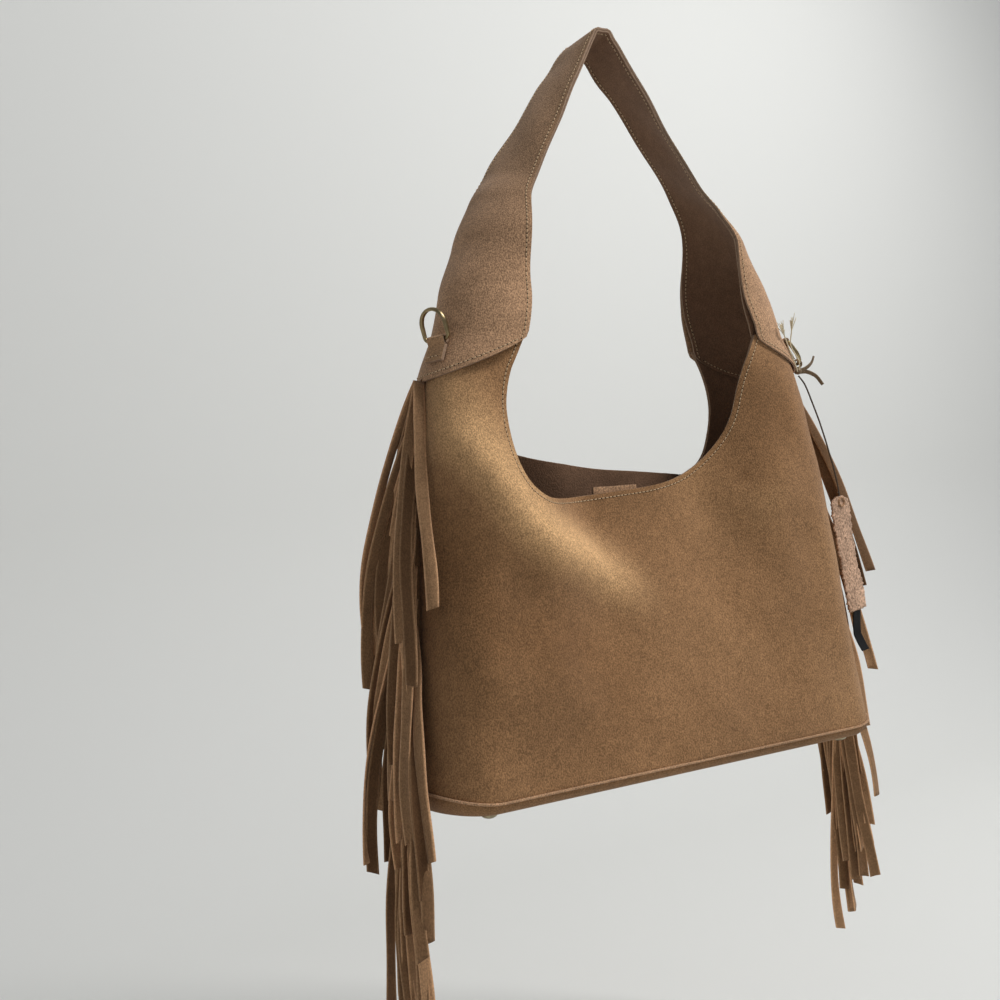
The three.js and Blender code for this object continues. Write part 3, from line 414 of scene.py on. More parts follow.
# Outer face of the body: around runs from -1 at the left side seam to 1 at the right one, side is -1 on
# the front and 1 on the back. x is flat up to the rounded end, then flat + reach sin(turn), and y is
# the depth times cos(turn).
def bodyPoint(around, drop, side):
    width, reach, flat, span = halfSection(drop)
    along = np.abs(around) * span
    stop = np.arccos(body["sideGap"] / endDepthAt(drop))
    turn = np.maximum(0, (along - flat) / (span - flat)) * stop
    x = np.where(along <= flat, along, flat + reach * np.sin(turn))
    depth = lerp(centreDepthAt(drop), endDepthAt(drop), easeStep(x / width, 0.25, 0.63))
    return np.stack([np.sign(around) * x, side * depth * np.cos(turn), -drop], -1)


# How the suede hangs: folds as ridges along lines drawn on the panel, slow waves, and puckers at the base
# The last value of each fold is the strength of its painted highlight and painted shade
folds = {
    "front": [
        {"line": [(-0.155, -0.268), (-0.146, -0.290), (-0.131, -0.317), (-0.117, -0.340), (-0.097, -0.357),
                  (-0.073, -0.369), (-0.048, -0.384), (-0.025, -0.397), (0.002, -0.408)],
         "height": 0.0095, "width": 0.018, "nap": 0.46},
        {"line": [(0.128, -0.262), (0.116, -0.300), (0.096, -0.335), (0.066, -0.360)],
         "height": 0.0032, "width": 0.015, "nap": 0.12},
        {"line": [(-0.150, -0.430), (-0.110, -0.452), (-0.060, -0.470)],
         "height": 0.002, "width": 0.02, "nap": 0.08},
    ],
    "back": [
        {"line": [(-0.140, -0.260), (-0.118, -0.305), (-0.080, -0.345), (-0.03, -0.37)],
         "height": 0.002, "width": 0.018, "nap": 0.15},
        {"line": [(0.140, -0.262), (0.115, -0.310), (0.070, -0.352), (0.02, -0.372)],
         "height": 0.0024, "width": 0.018, "nap": 0.15},
    ],
}


# Panel tone: right is painted light towards the right side, low and horn darken the base and the right horn,
# slow gives patches
nap = {
    "right": 0.07, "low": 0.04, "slow": 0.03, "horn": 0.27, "hornSpot": (0.115, -0.285),
    "hornSize": (0.04, 0.06),
}
waves = {"slow": 0.0009, "pucker": 0.00035, "puckerReach": 0.011, "seamReach": 0.004, "seamGap": 0.0005}


def bell(x, middle, width):
    return np.exp(-((x - middle) / width) ** 2)


# Height of one fold: a bell-shaped ridge with a shallow hollow on each side, fading towards its ends. Its
# tone is a painted highlight over the ridge's upper side and painted shade below it.
def foldShape(x, z, fold):
    line = smoothPath([(px, 0, pz) for px, pz in fold["line"]], 60)
    dx, dz = x[..., None] - line[:, 0], z[..., None] - line[:, 2]
    squared = dx ** 2 + dz ** 2
    nearest = squared.argmin(-1)
    tangent = unit(np.gradient(line, axis=0))[nearest]

    def picked(distance):
        return np.take_along_axis(distance, nearest[..., None], -1)[..., 0]

    heading = np.sign(line[-1, 0] - line[0, 0]) * -tangent[..., 2] * np.sign(tangent[..., 0])
    away = picked(dz) * np.abs(tangent[..., 0]) + picked(dx) * heading
    share = nearest / (len(line) - 1)
    fade = easeStep(share, -0.25, 0.25) * (1 - easeStep(share, 0.65, 1.05))
    w = fold["width"]
    far = np.sqrt(squared.min(-1))
    beyond = bell(np.maximum(0, far - np.abs(away)), 0, w)
    profile = bell(away, 0, w) - 0.5 * bell(away, 2.1 * w, 1.3 * w) - 0.4 * bell(away, -2.2 * w, 1.6 * w)
    # Painted highlight on the ridge's upper side, painted shade below it
    paintedHighlightShade = (bell(away, 0.25 * w, 1.25 * w) - 0.6 * bell(away, -3.4 * w, 2.6 * w)
               - 0.18 * bell(away, 3.2 * w, 1.6 * w))
    return fold["height"] * fade * profile * beyond, fold["nap"] * fade * paintedHighlightShade * beyond


# Tone from 0 to 1: the painted highlights and shade of the folds, painted light that makes the panel lighter
# towards the right, darker towards the base and on the right horn, and slow patches
def paintedLightAndNapTone(around, drop, side):
    point = bodyPoint(around, drop, side)
    x, z = point[..., 0], point[..., 2]
    tone = sum(foldShape(x, z, fold)[1] for fold in folds["front" if side < 0 else "back"])
    low = easeStep(drop, body["mouthDrop"], body["seamDrop"])
    slow = np.sin(x * 29 + z * 17 + side) * np.sin(z * 31 - x * 13)
    (hornX, hornZ), (sizeX, sizeZ) = nap["hornSpot"], nap["hornSize"]
    horn = bell(x, hornX, sizeX) * bell(z, hornZ, sizeZ)
    # Painted light: the panel lighter towards the right
    right = np.maximum(x, 0) / halfWidthAt(drop)
    return np.clip(0.5 + tone + nap["right"] * right - nap["low"] * low - nap["horn"] * horn
                   + nap["slow"] * slow, 0, 1)


# Height of the suede over its plain shape: folds, slow waves that end at the side seams, and puckers above
# the base seam
def drape(around, drop, side):
    point = bodyPoint(around, drop, side)
    x, z = point[..., 0], point[..., 2]
    height = sum(foldShape(x, z, fold)[0] for fold in folds["front" if side < 0 else "back"])
    phase = 0.0 if side < 0 else 2.1
    slow = (np.sin(x * 41 + z * 23 + phase) * np.sin(z * 37 - x * 11 + 1 + phase)
            + 0.6 * np.sin(x * 78 - z * 51 + 2 * phase) + 0.35 * np.sin(x * 130 + z * 96 + phase))
    above = body["seamDrop"] - drop
    pucker = np.sin(x * 430 + 3 * np.sin(x * 61 + phase)) * np.exp(-above / waves["puckerReach"])
    seamShare = easeStep(np.abs(around), 0.86, 0.99)
    height = (height + waves["slow"] * slow) * (1 - seamShare) + waves["pucker"] * pucker
    return height * (1 - np.exp(-(above + waves["seamGap"]) / waves["seamReach"]))


# Surface with its normal, found by small steps in both directions
def spotsOn(surface, u, v, stepU, stepV):
    run = surface(u + stepU, v) - surface(u - stepU, v)
    cross = surface(u, v + stepV) - surface(u, v - stepV)
    return surface(u, v), unit(np.cross(run, cross))


# Body with its drape, and the normal pointing inwards on the front and outwards on the back
def bodySurface(around, drop, side):
    def plain(a, d):
        return bodyPoint(a, d, side)

    def draped(a, d):
        point, normal = spotsOn(plain, a, d, 0.004, 0.0005)
        return point + normal * (side * drape(a, d, side))[..., None]

    return spotsOn(draped, around, drop, 0.003, 0.0005)


# Way round, as a share from -1 to 1, at which the body has this x
def aroundOf(x, drop):
    _, reach, flat, span = halfSection(drop)
    size = np.abs(x)
    bent = flat + np.arcsin(np.clip((size - flat) / reach, 0, 1)) * reach
    return np.sign(x) * np.where(size <= flat, size, bent) / span


# Half of a neckline, evenly spaced from the shoulder to the middle: a superellipse of the scoop's reach
# and dip that settles onto the shoulder
def neckHalf(scoop, key, sign, count):
    reach, square = scoop[key]
    angle = np.linspace(0, np.pi / 2, 400)
    x = reach * np.cos(angle) ** (2 / square)
    dip = scoop["dip"] * np.sin(angle) ** (2 / square)
    settle = np.maximum(0, 1 - dip / body["neckSettle"]) ** 2
    tilt = scoop["tilt"] * np.minimum(1, x / reach * 1.3) * (dip / scoop["dip"])
    x = x + (body["hornInner"] - reach) * settle
    drop = body["shoulderDrop"] + dip - sign * tilt
    length = np.concatenate([[0], np.cumsum(np.hypot(np.diff(x), np.diff(drop)))])
    at = np.linspace(0, length[-1], count + 1)
    x, drop = np.interp(at, length, x), np.interp(at, length, drop)
    return np.stack([sign * aroundOf(x, drop), drop], -1)


def smoothAlong(values, reach):
    kernel = np.hanning(2 * reach + 3)[1:-1]
    padded = np.pad(values, ((reach, reach), (0, 0)), mode="edge")
    return np.stack([np.convolve(padded[:, k], kernel / kernel.sum(), "valid") for k in range(2)], -1)


# Panel grid from the base seam to the neckline, as around and drop. Its upper rows are only filled on
# the two horns, whose inner edges run along the sides of the mouth.
gridSize = {"horn": 20, "hornRows": 32, "mouth": 40, "bodyRows": 88}


def panelGrid(scoop):
    horn, hornRows, mouth, bodyRows = (gridSize[key] for key in ("horn", "hornRows", "mouth", "bodyRows"))
    left = neckHalf(scoop, "left", -1, hornRows + mouth)
    right = neckHalf(scoop, "right", 1, hornRows + mouth)

    def hornRow(end, sign):
        share = np.arange(horn)[:, None] / horn
        return np.concatenate([lerp(sign, end[0], share), np.full((horn, 1), end[1])], -1)

    rim = np.concatenate([hornRow(left[hornRows], -1), left[hornRows:], right[hornRows:-1][::-1],
                          hornRow(right[hornRows], 1)[::-1]])
    span = halfWidthAt(body["mouthDrop"])
    run = smoothAlong(unit(np.gradient(rim * [span, 1], axis=0)), 9)
    seam = body["seamDrop"] - body["seamEndLift"] * easeStep(np.abs(rim[:, 0]), 0.72, 1)
    low = np.stack([rim[:, 0], seam], -1)
    bend = rim + np.stack([-run[:, 1] / span, 2 * run[:, 0]], -1) * body["columnPull"]
    v = np.linspace(0, 1, bodyRows + 1)[:, None, None]
    flat = (1 - v) ** 2 * low + 2 * v * (1 - v) * bend + v * v * rim
    upper = []
    for k in range(hornRows - 1, -1, -1):
        fill = np.concatenate([np.repeat(left[k][None], mouth + 1, 0), np.repeat(right[k][None], mouth, 0)])
        upper.append(np.concatenate([hornRow(left[k], -1), fill, hornRow(right[k], 1)[::-1]]))
    grid = np.concatenate([flat, np.array(upper)])
    filled = np.ones((len(grid) - 1, grid.shape[1] - 1), bool)
    filled[bodyRows:, horn:-horn] = False
    return grid, filled


# Stitches: short capsules along a line on a surface, with a dark disc of painted shade for the needle hole at
# each end of them
stitch = {"pitch": 0.0031, "length": 0.0023, "radius": 0.00036, "hole": 0.0005, "inset": 0.0033}


def stitchParts(line, normal):
    length = np.concatenate([[0], np.cumsum(np.linalg.norm(np.diff(line, axis=0), axis=1))])
    count = int(length[-1] / stitch["pitch"])
    middles = (np.arange(count) + 0.5) * stitch["pitch"]

    def sample(values, at):
        return np.stack([np.interp(at, length, values[:, k]) for k in range(3)], -1)

    centre, up = sample(line, middles), unit(sample(normal, middles))
    tangent = unit(sample(line, middles + 0.0005) - sample(line, middles - 0.0005))
    across = np.cross(up, tangent)
    along = np.array([-0.5, -0.42, 0, 0.42, 0.5])
    girth = np.array([0.35, 0.8, 1, 0.8, 0.35])
    rise = np.array([-0.3, 0.15, 0.45, 0.15, -0.3])
    angle = circle(6)
    r = stitch["radius"]
    points = (centre[:, None, None] + tangent[:, None, None] * (along * stitch["length"])[:, None, None]
              + up[:, None, None] * (r * (rise[:, None] + girth[:, None] * np.cos(angle)))[..., None]
              + across[:, None, None] * (r * girth[:, None] * np.sin(angle))[..., None])
    faces = tubeFaces(5, 6)
    threads = [(p, faces) for p in points]

    # Dark discs: painted shade in the needle holes
    spots = sample(line, middles + stitch["pitch"] / 2)
    disc = circle(8)
    flat = (spots[:, None] + tangent[:, None] * (np.cos(disc) * stitch["hole"])[:, None]
            + across[:, None] * (np.sin(disc) * stitch["hole"])[:, None])
    low = flat - up[:, None] * 0.0003
    high = flat + up[:, None] * 0.00006
    holeFaces = tubeFaces(2, 8)
    holes = [(np.stack([a, b]), holeFaces) for a, b in zip(low, high)]
    return threads, holes


def addStitches(name, rows, **options):
    threads, holes = [], []
    for line, normal in rows:
        rowThreads, rowHoles = stitchParts(line, normal)
        threads += rowThreads
        holes += rowHoles
    points, faces = joinParts(threads + holes)
    threadFaces = sum(len(part[1]) for part in threads)
    kinds = [0] * threadFaces + [1] * (len(faces) - threadFaces)
    return addMesh(name, points, faces, ["thread", "needle_hole"], faceMaterial=kinds, **options)


# Line on the body at a distance inside the neckline, with its outward normal
def neckLine(scoop, side, inset):
    left = neckHalf(scoop, "left", -1, 300)
    right = neckHalf(scoop, "right", 1, 300)
    rim = np.concatenate([left, right[:-1][::-1]])
    span = halfWidthAt(rim[:, 1]) + 0.02
    flat = np.stack([rim[:, 0] * span, rim[:, 1]], -1)
    run = smoothAlong(unit(np.gradient(flat, axis=0)), 6)
    flat = flat + np.stack([-run[:, 1], run[:, 0]], -1) * inset
    point, normal = bodySurface(flat[:, 0] / span, flat[:, 1], side)
    return point, normal * side


def makeBody():
    for name, scoop, side in (("front", frontScoop, -1), ("back", backScoop, 1)):
        grid, filled = panelGrid(scoop)
        around, drop = np.clip(grid[..., 0], -1, 1), grid[..., 1]
        point, inward = bodySurface(around, drop, side)
        inward = inward * -side

        def skin(depth):
            return point + inward * depth

        panel = body["panelThick"]
        under = panel + body["gap"]
        # The panel's tone carries painted highlights and painted shade
        addShell(f"{name}_suede", skin(0), skin(panel), "panel_suede", filled=filled,
                 tone=paintedLightAndNapTone(around, drop, side), replaces=[f"{name}_panel"], slot="suede")
        split = int(gridSize["bodyRows"] * body["facingShare"])
        facing = slice(split, None)
        addShell(f"{name}_inner_band", skin(under)[facing], skin(under + body["facingThick"])[facing],
                 "suede_inside", filled=filled[facing], replaces=[f"{name}_facing"])
        low = slice(0, split)
        addShell(f"{name}_lining_cloth", skin(under)[low], skin(under + body["liningThick"])[low],
                 "lining_cloth", edge="lining_cloth", bevel=0, replaces=[f"{name}_lining"])
        addStitches(f"{name}_neck_stitches", [neckLine(scoop, side, stitch["inset"])], slot="suede_light")


makeBody()
print("body made")


# Base: rings round the seam, pushed in and down, as a shallow tray, with a turned edge along the seam
base = {"height": 0.008, "thick": 0.0016, "inset": 0.009, "seamGap": 0.0005, "ring": 96, "piping": 0.0009}


def baseRing(drop, inset, lift):
    half = np.linspace(-1, 1, base["ring"] + 1)[:-1]
    around = np.concatenate([half, -half])
    side = np.repeat([-1, 1], base["ring"])
    point = bodyPoint(around, np.full_like(around, body["seamDrop"]), side)
    tangent = np.roll(point, -1, 0) - np.roll(point, 1, 0)
    inward = unit(np.stack([-tangent[:, 1], tangent[:, 0], np.zeros(len(point))], -1))
    inward *= -np.sign((inward * point).sum(1))[:, None]
    point = point + inward * inset
    point[:, 2] = -drop + lift * easeStep(np.abs(around), 0.72, 1)
    return point


def makeBase():
    rim = body["seamDrop"] + base["seamGap"]
    floor = body["seamDrop"] + base["height"]
    lift = body["seamEndLift"]

    def tray(inset, up):
        return [baseRing(rim, inset, lift), baseRing(rim + 0.0012, 0.0001 + inset, lift),
                baseRing(rim + 0.003 - up / 2, 0.0008 + inset, lift - 0.001),
                baseRing(rim + 0.0056 - up, 0.0032 + inset, lift - 0.002),
                baseRing(floor - 0.0004 - up, base["inset"] * 0.7 + inset, 0.001),
                baseRing(floor - up, base["inset"] * 1.2 + inset, 0),
                baseRing(floor - up, base["inset"] * 2.6 + inset / 2, 0)]

    rings = np.array(tray(0, 0)[::-1] + tray(base["thick"], base["thick"]))
    faces = tubeFaces(len(rings), rings.shape[1])
    addMesh("base_suede", rings, faces, ["base_suede"], replaces=["base_panel"], slot="suede")
    seam = baseRing(body["seamDrop"] + base["seamGap"] / 2, -0.0001, lift)
    points = tubePoints(seam, base["piping"], base["piping"], 8)
    addMesh("base_seam_edge", points, tubeFaces(len(points), 8, closed=True), ["suede_light"])


makeBase()
print("base made")


# Feet: a dome over a flange, turned round an upright axis
foot = {
    "radius": 0.006, "flange": 0.0008, "height": 0.0042, "post": 0.0012, "postTop": 0.0026,
    "spreadX": 0.150, "spreadY": 0.032,
}


def turned(profile, sides, centre):
    angle = circle(sides)
    profile = np.array(profile)
    ring = np.stack([np.cos(angle), np.sin(angle), np.zeros(sides)], -1)
    points = profile[:, None, :1] * ring + profile[:, None, 1:] * [0, 0, 1]
    return points + centre


def makeFeet():
    under = -(body["seamDrop"] + base["height"]) - body["gap"]
    radius, flange, post = foot["radius"], foot["flange"], foot["post"]
    dome = [(radius * 0.95 * math.cos(a), -flange - (foot["height"] - flange) * math.sin(a))
            for a in np.linspace(0, np.pi / 2 - 0.02, 9)]
    profile = [(post, foot["postTop"]), (post, 0), (radius * 0.98, 0), (radius, -flange / 2),
               (radius * 0.98, -flange)] + dome
    places = (("front_left", -1, -1), ("front_right", 1, -1), ("back_left", -1, 1), ("back_right", 1, 1))
    for name, x, y in places:
        centre = np.array([x * foot["spreadX"], y * foot["spreadY"], under])
        points = turned(profile[::-1], 32, centre)
        addMesh(f"foot_dome_{name}", points, tubeFaces(len(profile), 32), ["aged_steel"],
                replaces=[f"foot_{name}"])


makeFeet()
print("feet made")


# Strap: stations from the crown down one leg, then over the horn along the body's rounded end
strap = {
    "outer": 0.0015, "lining": 0.0012, "seat": 0.0012, "merge": 0.045, "settle": 0.045, "flat": 0.004,
    "lap": 0.004, "shade": 0.22, "columns": 49, "legRows": 130, "endRows": 27,
}
stations = [
    # out, drop, half, twist, belly, back
    (0, 0, 0.019, 0, 0, 0.003), (0.004, 0, 0.0195, 0, 0, 0.003), (0.0095, 0.0055, 0.0205, 3, 0.0008, 0.004),
    (0.019, 0.020, 0.0215, 5, 0.0015, 0.004), (0.0304, 0.036, 0.0218, 10, 0.002, 0.003),
    (0.0484, 0.064, 0.023, 12.5, 0.003, 0.0025), (0.0744, 0.105, 0.0264, 16.5, 0.005, 0.0025),
    (0.0866, 0.126, 0.0315, 15, 0.011, 0.002), (0.0922, 0.154, 0.0385, 8, 0.024, 0),
    (0.0915, 0.190, 0.0365, 1.5, 0.042, 0), (0.097, 0.219, 0.0373, 0, 0.046, 0),
]
legAt = np.concatenate([[0], np.cumsum([math.hypot(b[0] - a[0], b[1] - a[1])
                                        for a, b in zip(stations, stations[1:])])])
legLength = legAt[-1]
legCurve = [smoothThrough(legAt, [s[k] for s in stations]) for k in range(6)]


# Point of the band's reference face on the right leg, run measured from the crown: the section is a
# shallow channel across the leg's line, turned by its twist, and past the shoulder the body's rounded end
def strapPoint(run, across):
    leg = np.clip(run, 0, legLength)
    out, drop, half, twist, belly, back = (curve(leg) for curve in legCurve)
    ahead, behind = np.minimum(leg + 0.0005, legLength), np.maximum(leg - 0.0005, 0)
    slopeX, slopeY = legCurve[0](ahead) - legCurve[0](behind), legCurve[1](ahead) - legCurve[1](behind)
    size = np.hypot(slopeX, slopeY)
    settle = easeStep(leg, legLength - strap["settle"], legLength)
    slopeX, slopeY = slopeX / size * (1 - settle), lerp(slopeY / size, 1, settle)
    lift = (strap["lining"] + body["gap"] / 2) * (1 - settle)
    channel = np.minimum(1, belly / half)
    arc = across * np.pi / 2
    sideways = half * lerp(across, np.sin(arc), channel)
    bulge = belly * lerp(1 - across ** 2, np.cos(arc), channel)
    outward = bulge + sideways * np.sin(np.radians(twist))
    legPoint = np.stack([out + slopeY * outward, sideways * np.cos(np.radians(twist)) + back,
                         -drop + slopeX * outward + lift], -1)
    past = body["shoulderDrop"] + np.maximum(run - legLength, 0)
    reach = endReachAt(past)
    hornPoint = np.stack([halfWidthAt(past) - reach + reach * np.cos(arc),
                          endDepthAt(past) * np.sin(arc), -past], -1)
    return np.where((run > legLength)[..., None], hornPoint, legPoint)


# Slow waves along the band, none at the crown, where the hook bears
def strapWave(run, across):
    fade = easeStep(run, 0.03, 0.09) * (1 - easeStep(run, legLength - 0.01, legLength + 0.01))
    edge = 0.0011 * across ** 2 * np.sin(run * 62 + 1.3 * across)
    return fade * (edge + 0.0006 * np.sin(run * 95 + 2.5 * across))


def strapEnd(across):
    share = np.maximum(0, 1 - across ** 2) ** 0.8
    return legLength + lerp(strap["lap"], body["tipDrop"] - body["shoulderDrop"], share)


# Point of the waved band with its normal, straight up on the crown's flat
def strapSpots(run, across):
    runStep, acrossStep, crownStep = 0.0005, 0.01, 0.0006

    def waved(r, a):
        _, normal = spotsOn(strapPoint, np.maximum(r, crownStep), a, runStep, acrossStep)
        return strapPoint(r, a) + normal * strapWave(r, a)[..., None]

    _, normal = spotsOn(waved, np.maximum(run, crownStep), across, runStep, acrossStep)
    flat = (run <= strap["flat"])[..., None]
    return waved(run, across), np.where(flat, [0, 0, 1], normal)


# Depths of the two layers from the reference face: together on the leg, and over and under the horn, with
# the panel and its facing between them
def strapDepths(point):
    shoulder = -body["shoulderDrop"]
    above = easeStep(point[..., 2:], shoulder + 0.001, shoulder + strap["merge"])
    deep = body["panelThick"] + body["gap"] + body["facingThick"] + strap["seat"]
    return lerp(strap["seat"], body["gap"] / 2, above), lerp(deep, body["gap"] / 2, above)


# Both legs as one grid of rows from one end over the crown to the other
def bothLegs(rows):
    mirror = rows[1:][::-1] * [-1, 1, 1]
    return np.concatenate([mirror, rows])


# Rows of stitches as run and across: one along each edge, at one distance from it, and one round the end
def strapStitchRows():
    rows = []
    runs = np.linspace(0, 1, 260)
    rowEnd, sliver = 0.93, 0.02
    for key in (-1, 1):
        rim = np.full_like(runs, key)
        run = runs * (strapEnd(np.array([rowEnd]))[0] - stitch["inset"])
        edge = np.linalg.norm(strapPoint(run, rim) - strapPoint(run, rim * (1 - sliver)), axis=1)
        inset = np.minimum(stitch["inset"] * sliver / np.maximum(edge, 1e-5), 0.3)
        across = key * (1 - smoothAlong(np.stack([inset, inset], -1), 8)[:, 0])
        rows.append((run, across))
    across = np.linspace(-rowEnd, rowEnd, 160)
    rows.append((strapEnd(across) - stitch["inset"], across))
    return rows


def makeStrap():
    across = np.linspace(-1, 1, strap["columns"])[None]
    split = legLength - 0.001
    upper = np.concatenate([[0], np.linspace(strap["flat"], split, strap["legRows"])])[:, None]
    share = np.linspace(0, 1, strap["endRows"])[1:, None]
    run = np.concatenate([upper + 0 * across, lerp(split, strapEnd(across), share)])
    across = np.broadcast_to(across, run.shape)
    point, normal = strapSpots(run, across)
    over, under = strapDepths(point)
    outer = [bothLegs(point + normal * depth) for depth in (over + strap["outer"], over)]
    inner = [bothLegs(point - normal * depth) for depth in (under, under + strap["lining"])]
    # Painted shade: the strap's outer face darker towards its top
    high = easeStep(outer[0][..., 2], -0.16, -0.09)
    addShell("strap_suede", *outer, "strap_suede", replaces=["strap_outer"], slot="suede_light",
             tone=0.5 - strap["shade"] * high)
    addShell("strap_inner_suede", *inner, "suede_inside", replaces=["strap_lining"])
    seams = []
    for run, across in strapStitchRows():
        point, normal = strapSpots(run, across)
        over, under = strapDepths(point)
        for face, depth in ((1, over + strap["outer"]), (-1, under + strap["lining"])):
            line, up = point + normal * face * depth, normal * face
            seams.append((line, up))
            seams.append((line * [-1, 1, 1], up * [-1, 1, 1]))
    addStitches("strap_stitches", seams, slot="suede_light")


makeStrap()
print("strap made")


# Rings and their loops, made in a frame with the bar along X and outwards along -Y, and then placed
ring = {
    "drop": 0.220, "forward": 0.009, "turn": 20, "bar": 0.0102, "height": 0.020, "thick": 0.0024,
    "band": 0.0034, "play": 0.00045, "loopThick": 0.0012, "loopHalf": 0.0074, "tail": 0.015, "leftLean": 14,
    "rightHang": 148, "seamDrop": 0.0118, "seamHalf": 0.0062,
}
loopBore = ring["thick"] / 2 + ring["play"]
loopOuter = loopBore + ring["loopThick"]


# Seat of a ring: its bar's frame in front of the strap's end, and the slope of the strap there
def ringSeat(sign):
    across = np.array([-math.asin(ring["forward"] / float(endDepthAt(ring["drop"]))) / (math.pi / 2)])
    at = legLength + ring["drop"] - body["shoulderDrop"]
    p = strapPoint(np.array([at]), across)[0]
    below = strapPoint(np.array([at + ring["tail"]]), across)[0]
    slope = math.atan2(below[0] - p[0], ring["tail"])
    turn = math.radians(ring["turn"])
    away = (strap["seat"] + strap["outer"] + loopOuter) / math.cos(slope) + 2.5 * body["gap"]
    seat = p + np.array([math.cos(turn), -math.sin(turn), 0]) * away
    place = Vector((sign * seat[0], seat[1], -ring["drop"]))
    spin = math.pi / 2 - turn if sign > 0 else -math.pi / 2 + turn
    return Matrix.Translation(place) @ Matrix.Rotation(spin, 4, "Z"), slope


def placed(points, matrix):
    points = np.asarray(points)
    turn = np.array(matrix.to_3x3())
    return points @ turn.T + np.array(matrix.translation)


# Centre line of the D: a straight bar with rounded corners and an arch over it
def ringPath():
    bend, bar, top = 0.003, ring["bar"], ring["height"] - ring["bar"]
    corner = np.linspace(-np.pi / 2, 0, 9)[1:-1]
    arch = np.linspace(0, np.pi, 41)
    barX = np.linspace(-(bar - bend), bar - bend, 7)
    right = np.stack([bar - bend + bend * np.cos(corner), 0 * corner, bend + bend * np.sin(corner)], -1)
    bow = np.stack([bar * np.cos(arch), 0 * arch, top + bar * np.sin(arch)], -1)
    straight = np.stack([barX, 0 * barX, 0 * barX], -1)
    return np.concatenate([straight, right, bow, right[::-1] * [-1, 1, 1]])


def makeRing(name, sign, lean, bodyName):
    seat, slope = ringSeat(sign)
    path = ringPath()
    ahead, behind = np.roll(path, -1, 0), np.roll(path, 1, 0)
    tangent = unit(ahead - behind)
    outward = np.stack([tangent[:, 2], 0 * tangent[:, 0], -tangent[:, 0]], -1)
    band = lerp(ring["thick"], ring["band"], easeStep(path[:, 2], 0.001, 0.005)) / 2
    angle = circle(16, 0.5)
    ca = np.sign(np.cos(angle)) * np.abs(np.cos(angle)) ** 0.75
    sa = np.sign(np.sin(angle)) * np.abs(np.sin(angle)) ** 0.75
    points = (path[:, None] + outward[:, None] * (ca * ring["thick"] / 2)[:, None]
              + (band[:, None] * sa)[..., None] * [0, 1, 0])
    matrix = seat @ Matrix.Rotation(math.radians(lean), 4, "X")
    addMesh(f"{name}_ring_metal", placed(points, matrix), tubeFaces(len(path), 16, closed=True),
            ["aged_brass"], body=bodyName, replaces=[f"{name}_ring"])

    # Loop: a suede strip folded round the bar, its two ends lying together down the strap
    def foldLine(radius, lift):
        bow = np.linspace(np.radians(-62), np.pi, 30)
        curve = np.stack([0 * bow, radius * np.cos(bow), radius * np.sin(bow)], -1)
        front = loopOuter - 2 * ring["loopThick"] + lift
        down = np.linspace(0, 1, 12)[1:]
        start = curve[-1]
        bulge = np.stack([0 * down, lerp(start[1], front, easeStep(down, 0, 0.3)),
                          lerp(start[2], -ring["tail"], down)], -1)
        return np.concatenate([curve, bulge])

    outer, inner = foldLine(loopOuter, 0), foldLine(loopBore, ring["loopThick"])
    width = np.linspace(-1, 1, 15)[None, :, None] * [ring["loopHalf"], 0, 0]
    matrix = seat @ Matrix.Rotation(-slope, 4, "X")
    addShell(f"{name}_loop_suede", placed(outer[:, None] + width, matrix),
             placed(inner[:, None] + width, matrix), "loop_suede", replaces=[f"{name}_ring_loop"],
             slot="suede")
    tailBack = ring["loopThick"] * np.array([0, 1, 0])
    tailFront = loopOuter - ring["loopThick"]
    back = np.array([[0, tailFront, z] for z in np.linspace(-0.003, -ring["tail"], 8)])
    addShell(f"{name}_loop_tail", placed(back[:, None] + width, matrix),
             placed(back[:, None] + width + tailBack, matrix), "loop_suede", slot="suede")
    seamFront = loopOuter - 2 * ring["loopThick"]
    seamX = np.linspace(-ring["seamHalf"], ring["seamHalf"], 30)
    seam = np.array([[x, seamFront, -ring["seamDrop"]] for x in seamX])
    up = np.tile(np.array(matrix.to_3x3() @ Vector((0, -1, 0))), (30, 1))
    addStitches(f"{name}_loop_stitches", [(placed(seam, matrix), up)], slot="suede_light")


makeRing("left", -1, ring["leftLean"], "left_ring_body")
makeRing("right", 1, ring["rightHang"], "right_ring_body")
print("rings made")


# Fringe: strips cut from a band sewn in each side seam. Each strip is given by where its tip shows in the
# photograph, as x in the plane of the seam and the drop, and by how far its face is turned.
fringe = {
    "thick": 0.0012, "width": 0.0076, "top": 0.250, "bottom": 0.503, "header": 0.005, "length": 0.162,
    "tuck": 0.0085, "lift": 0.0048, "steps": 44, "fillers": 30, "cutTone": 0.5, "leftPile": 0.008,
    "rightPile": 0.016, "leftFill": (0.178, 0.204), "rightFill": (0.172, 0.206),
}
leftTips = [
    (0.163, 0.396, 10), (0.192, 0.400, -30), (0.209, 0.401, 60), (0.185, 0.416, 25), (0.182, 0.443, -10),
    (0.212, 0.441, 15), (0.205, 0.480, -25), (0.185, 0.494, 5), (0.214, 0.505, 50), (0.211, 0.516, -5),
    (0.196, 0.537, 30), (0.206, 0.549, 0), (0.222, 0.547, 70), (0.218, 0.554, 20), (0.188, 0.614, 8),
    (0.202, 0.626, -20), (0.196, 0.652, 35), (0.205, 0.667, 5), (0.190, 0.645, -45), (0.199, 0.676, 15),
    (0.212, 0.640, 40),
]
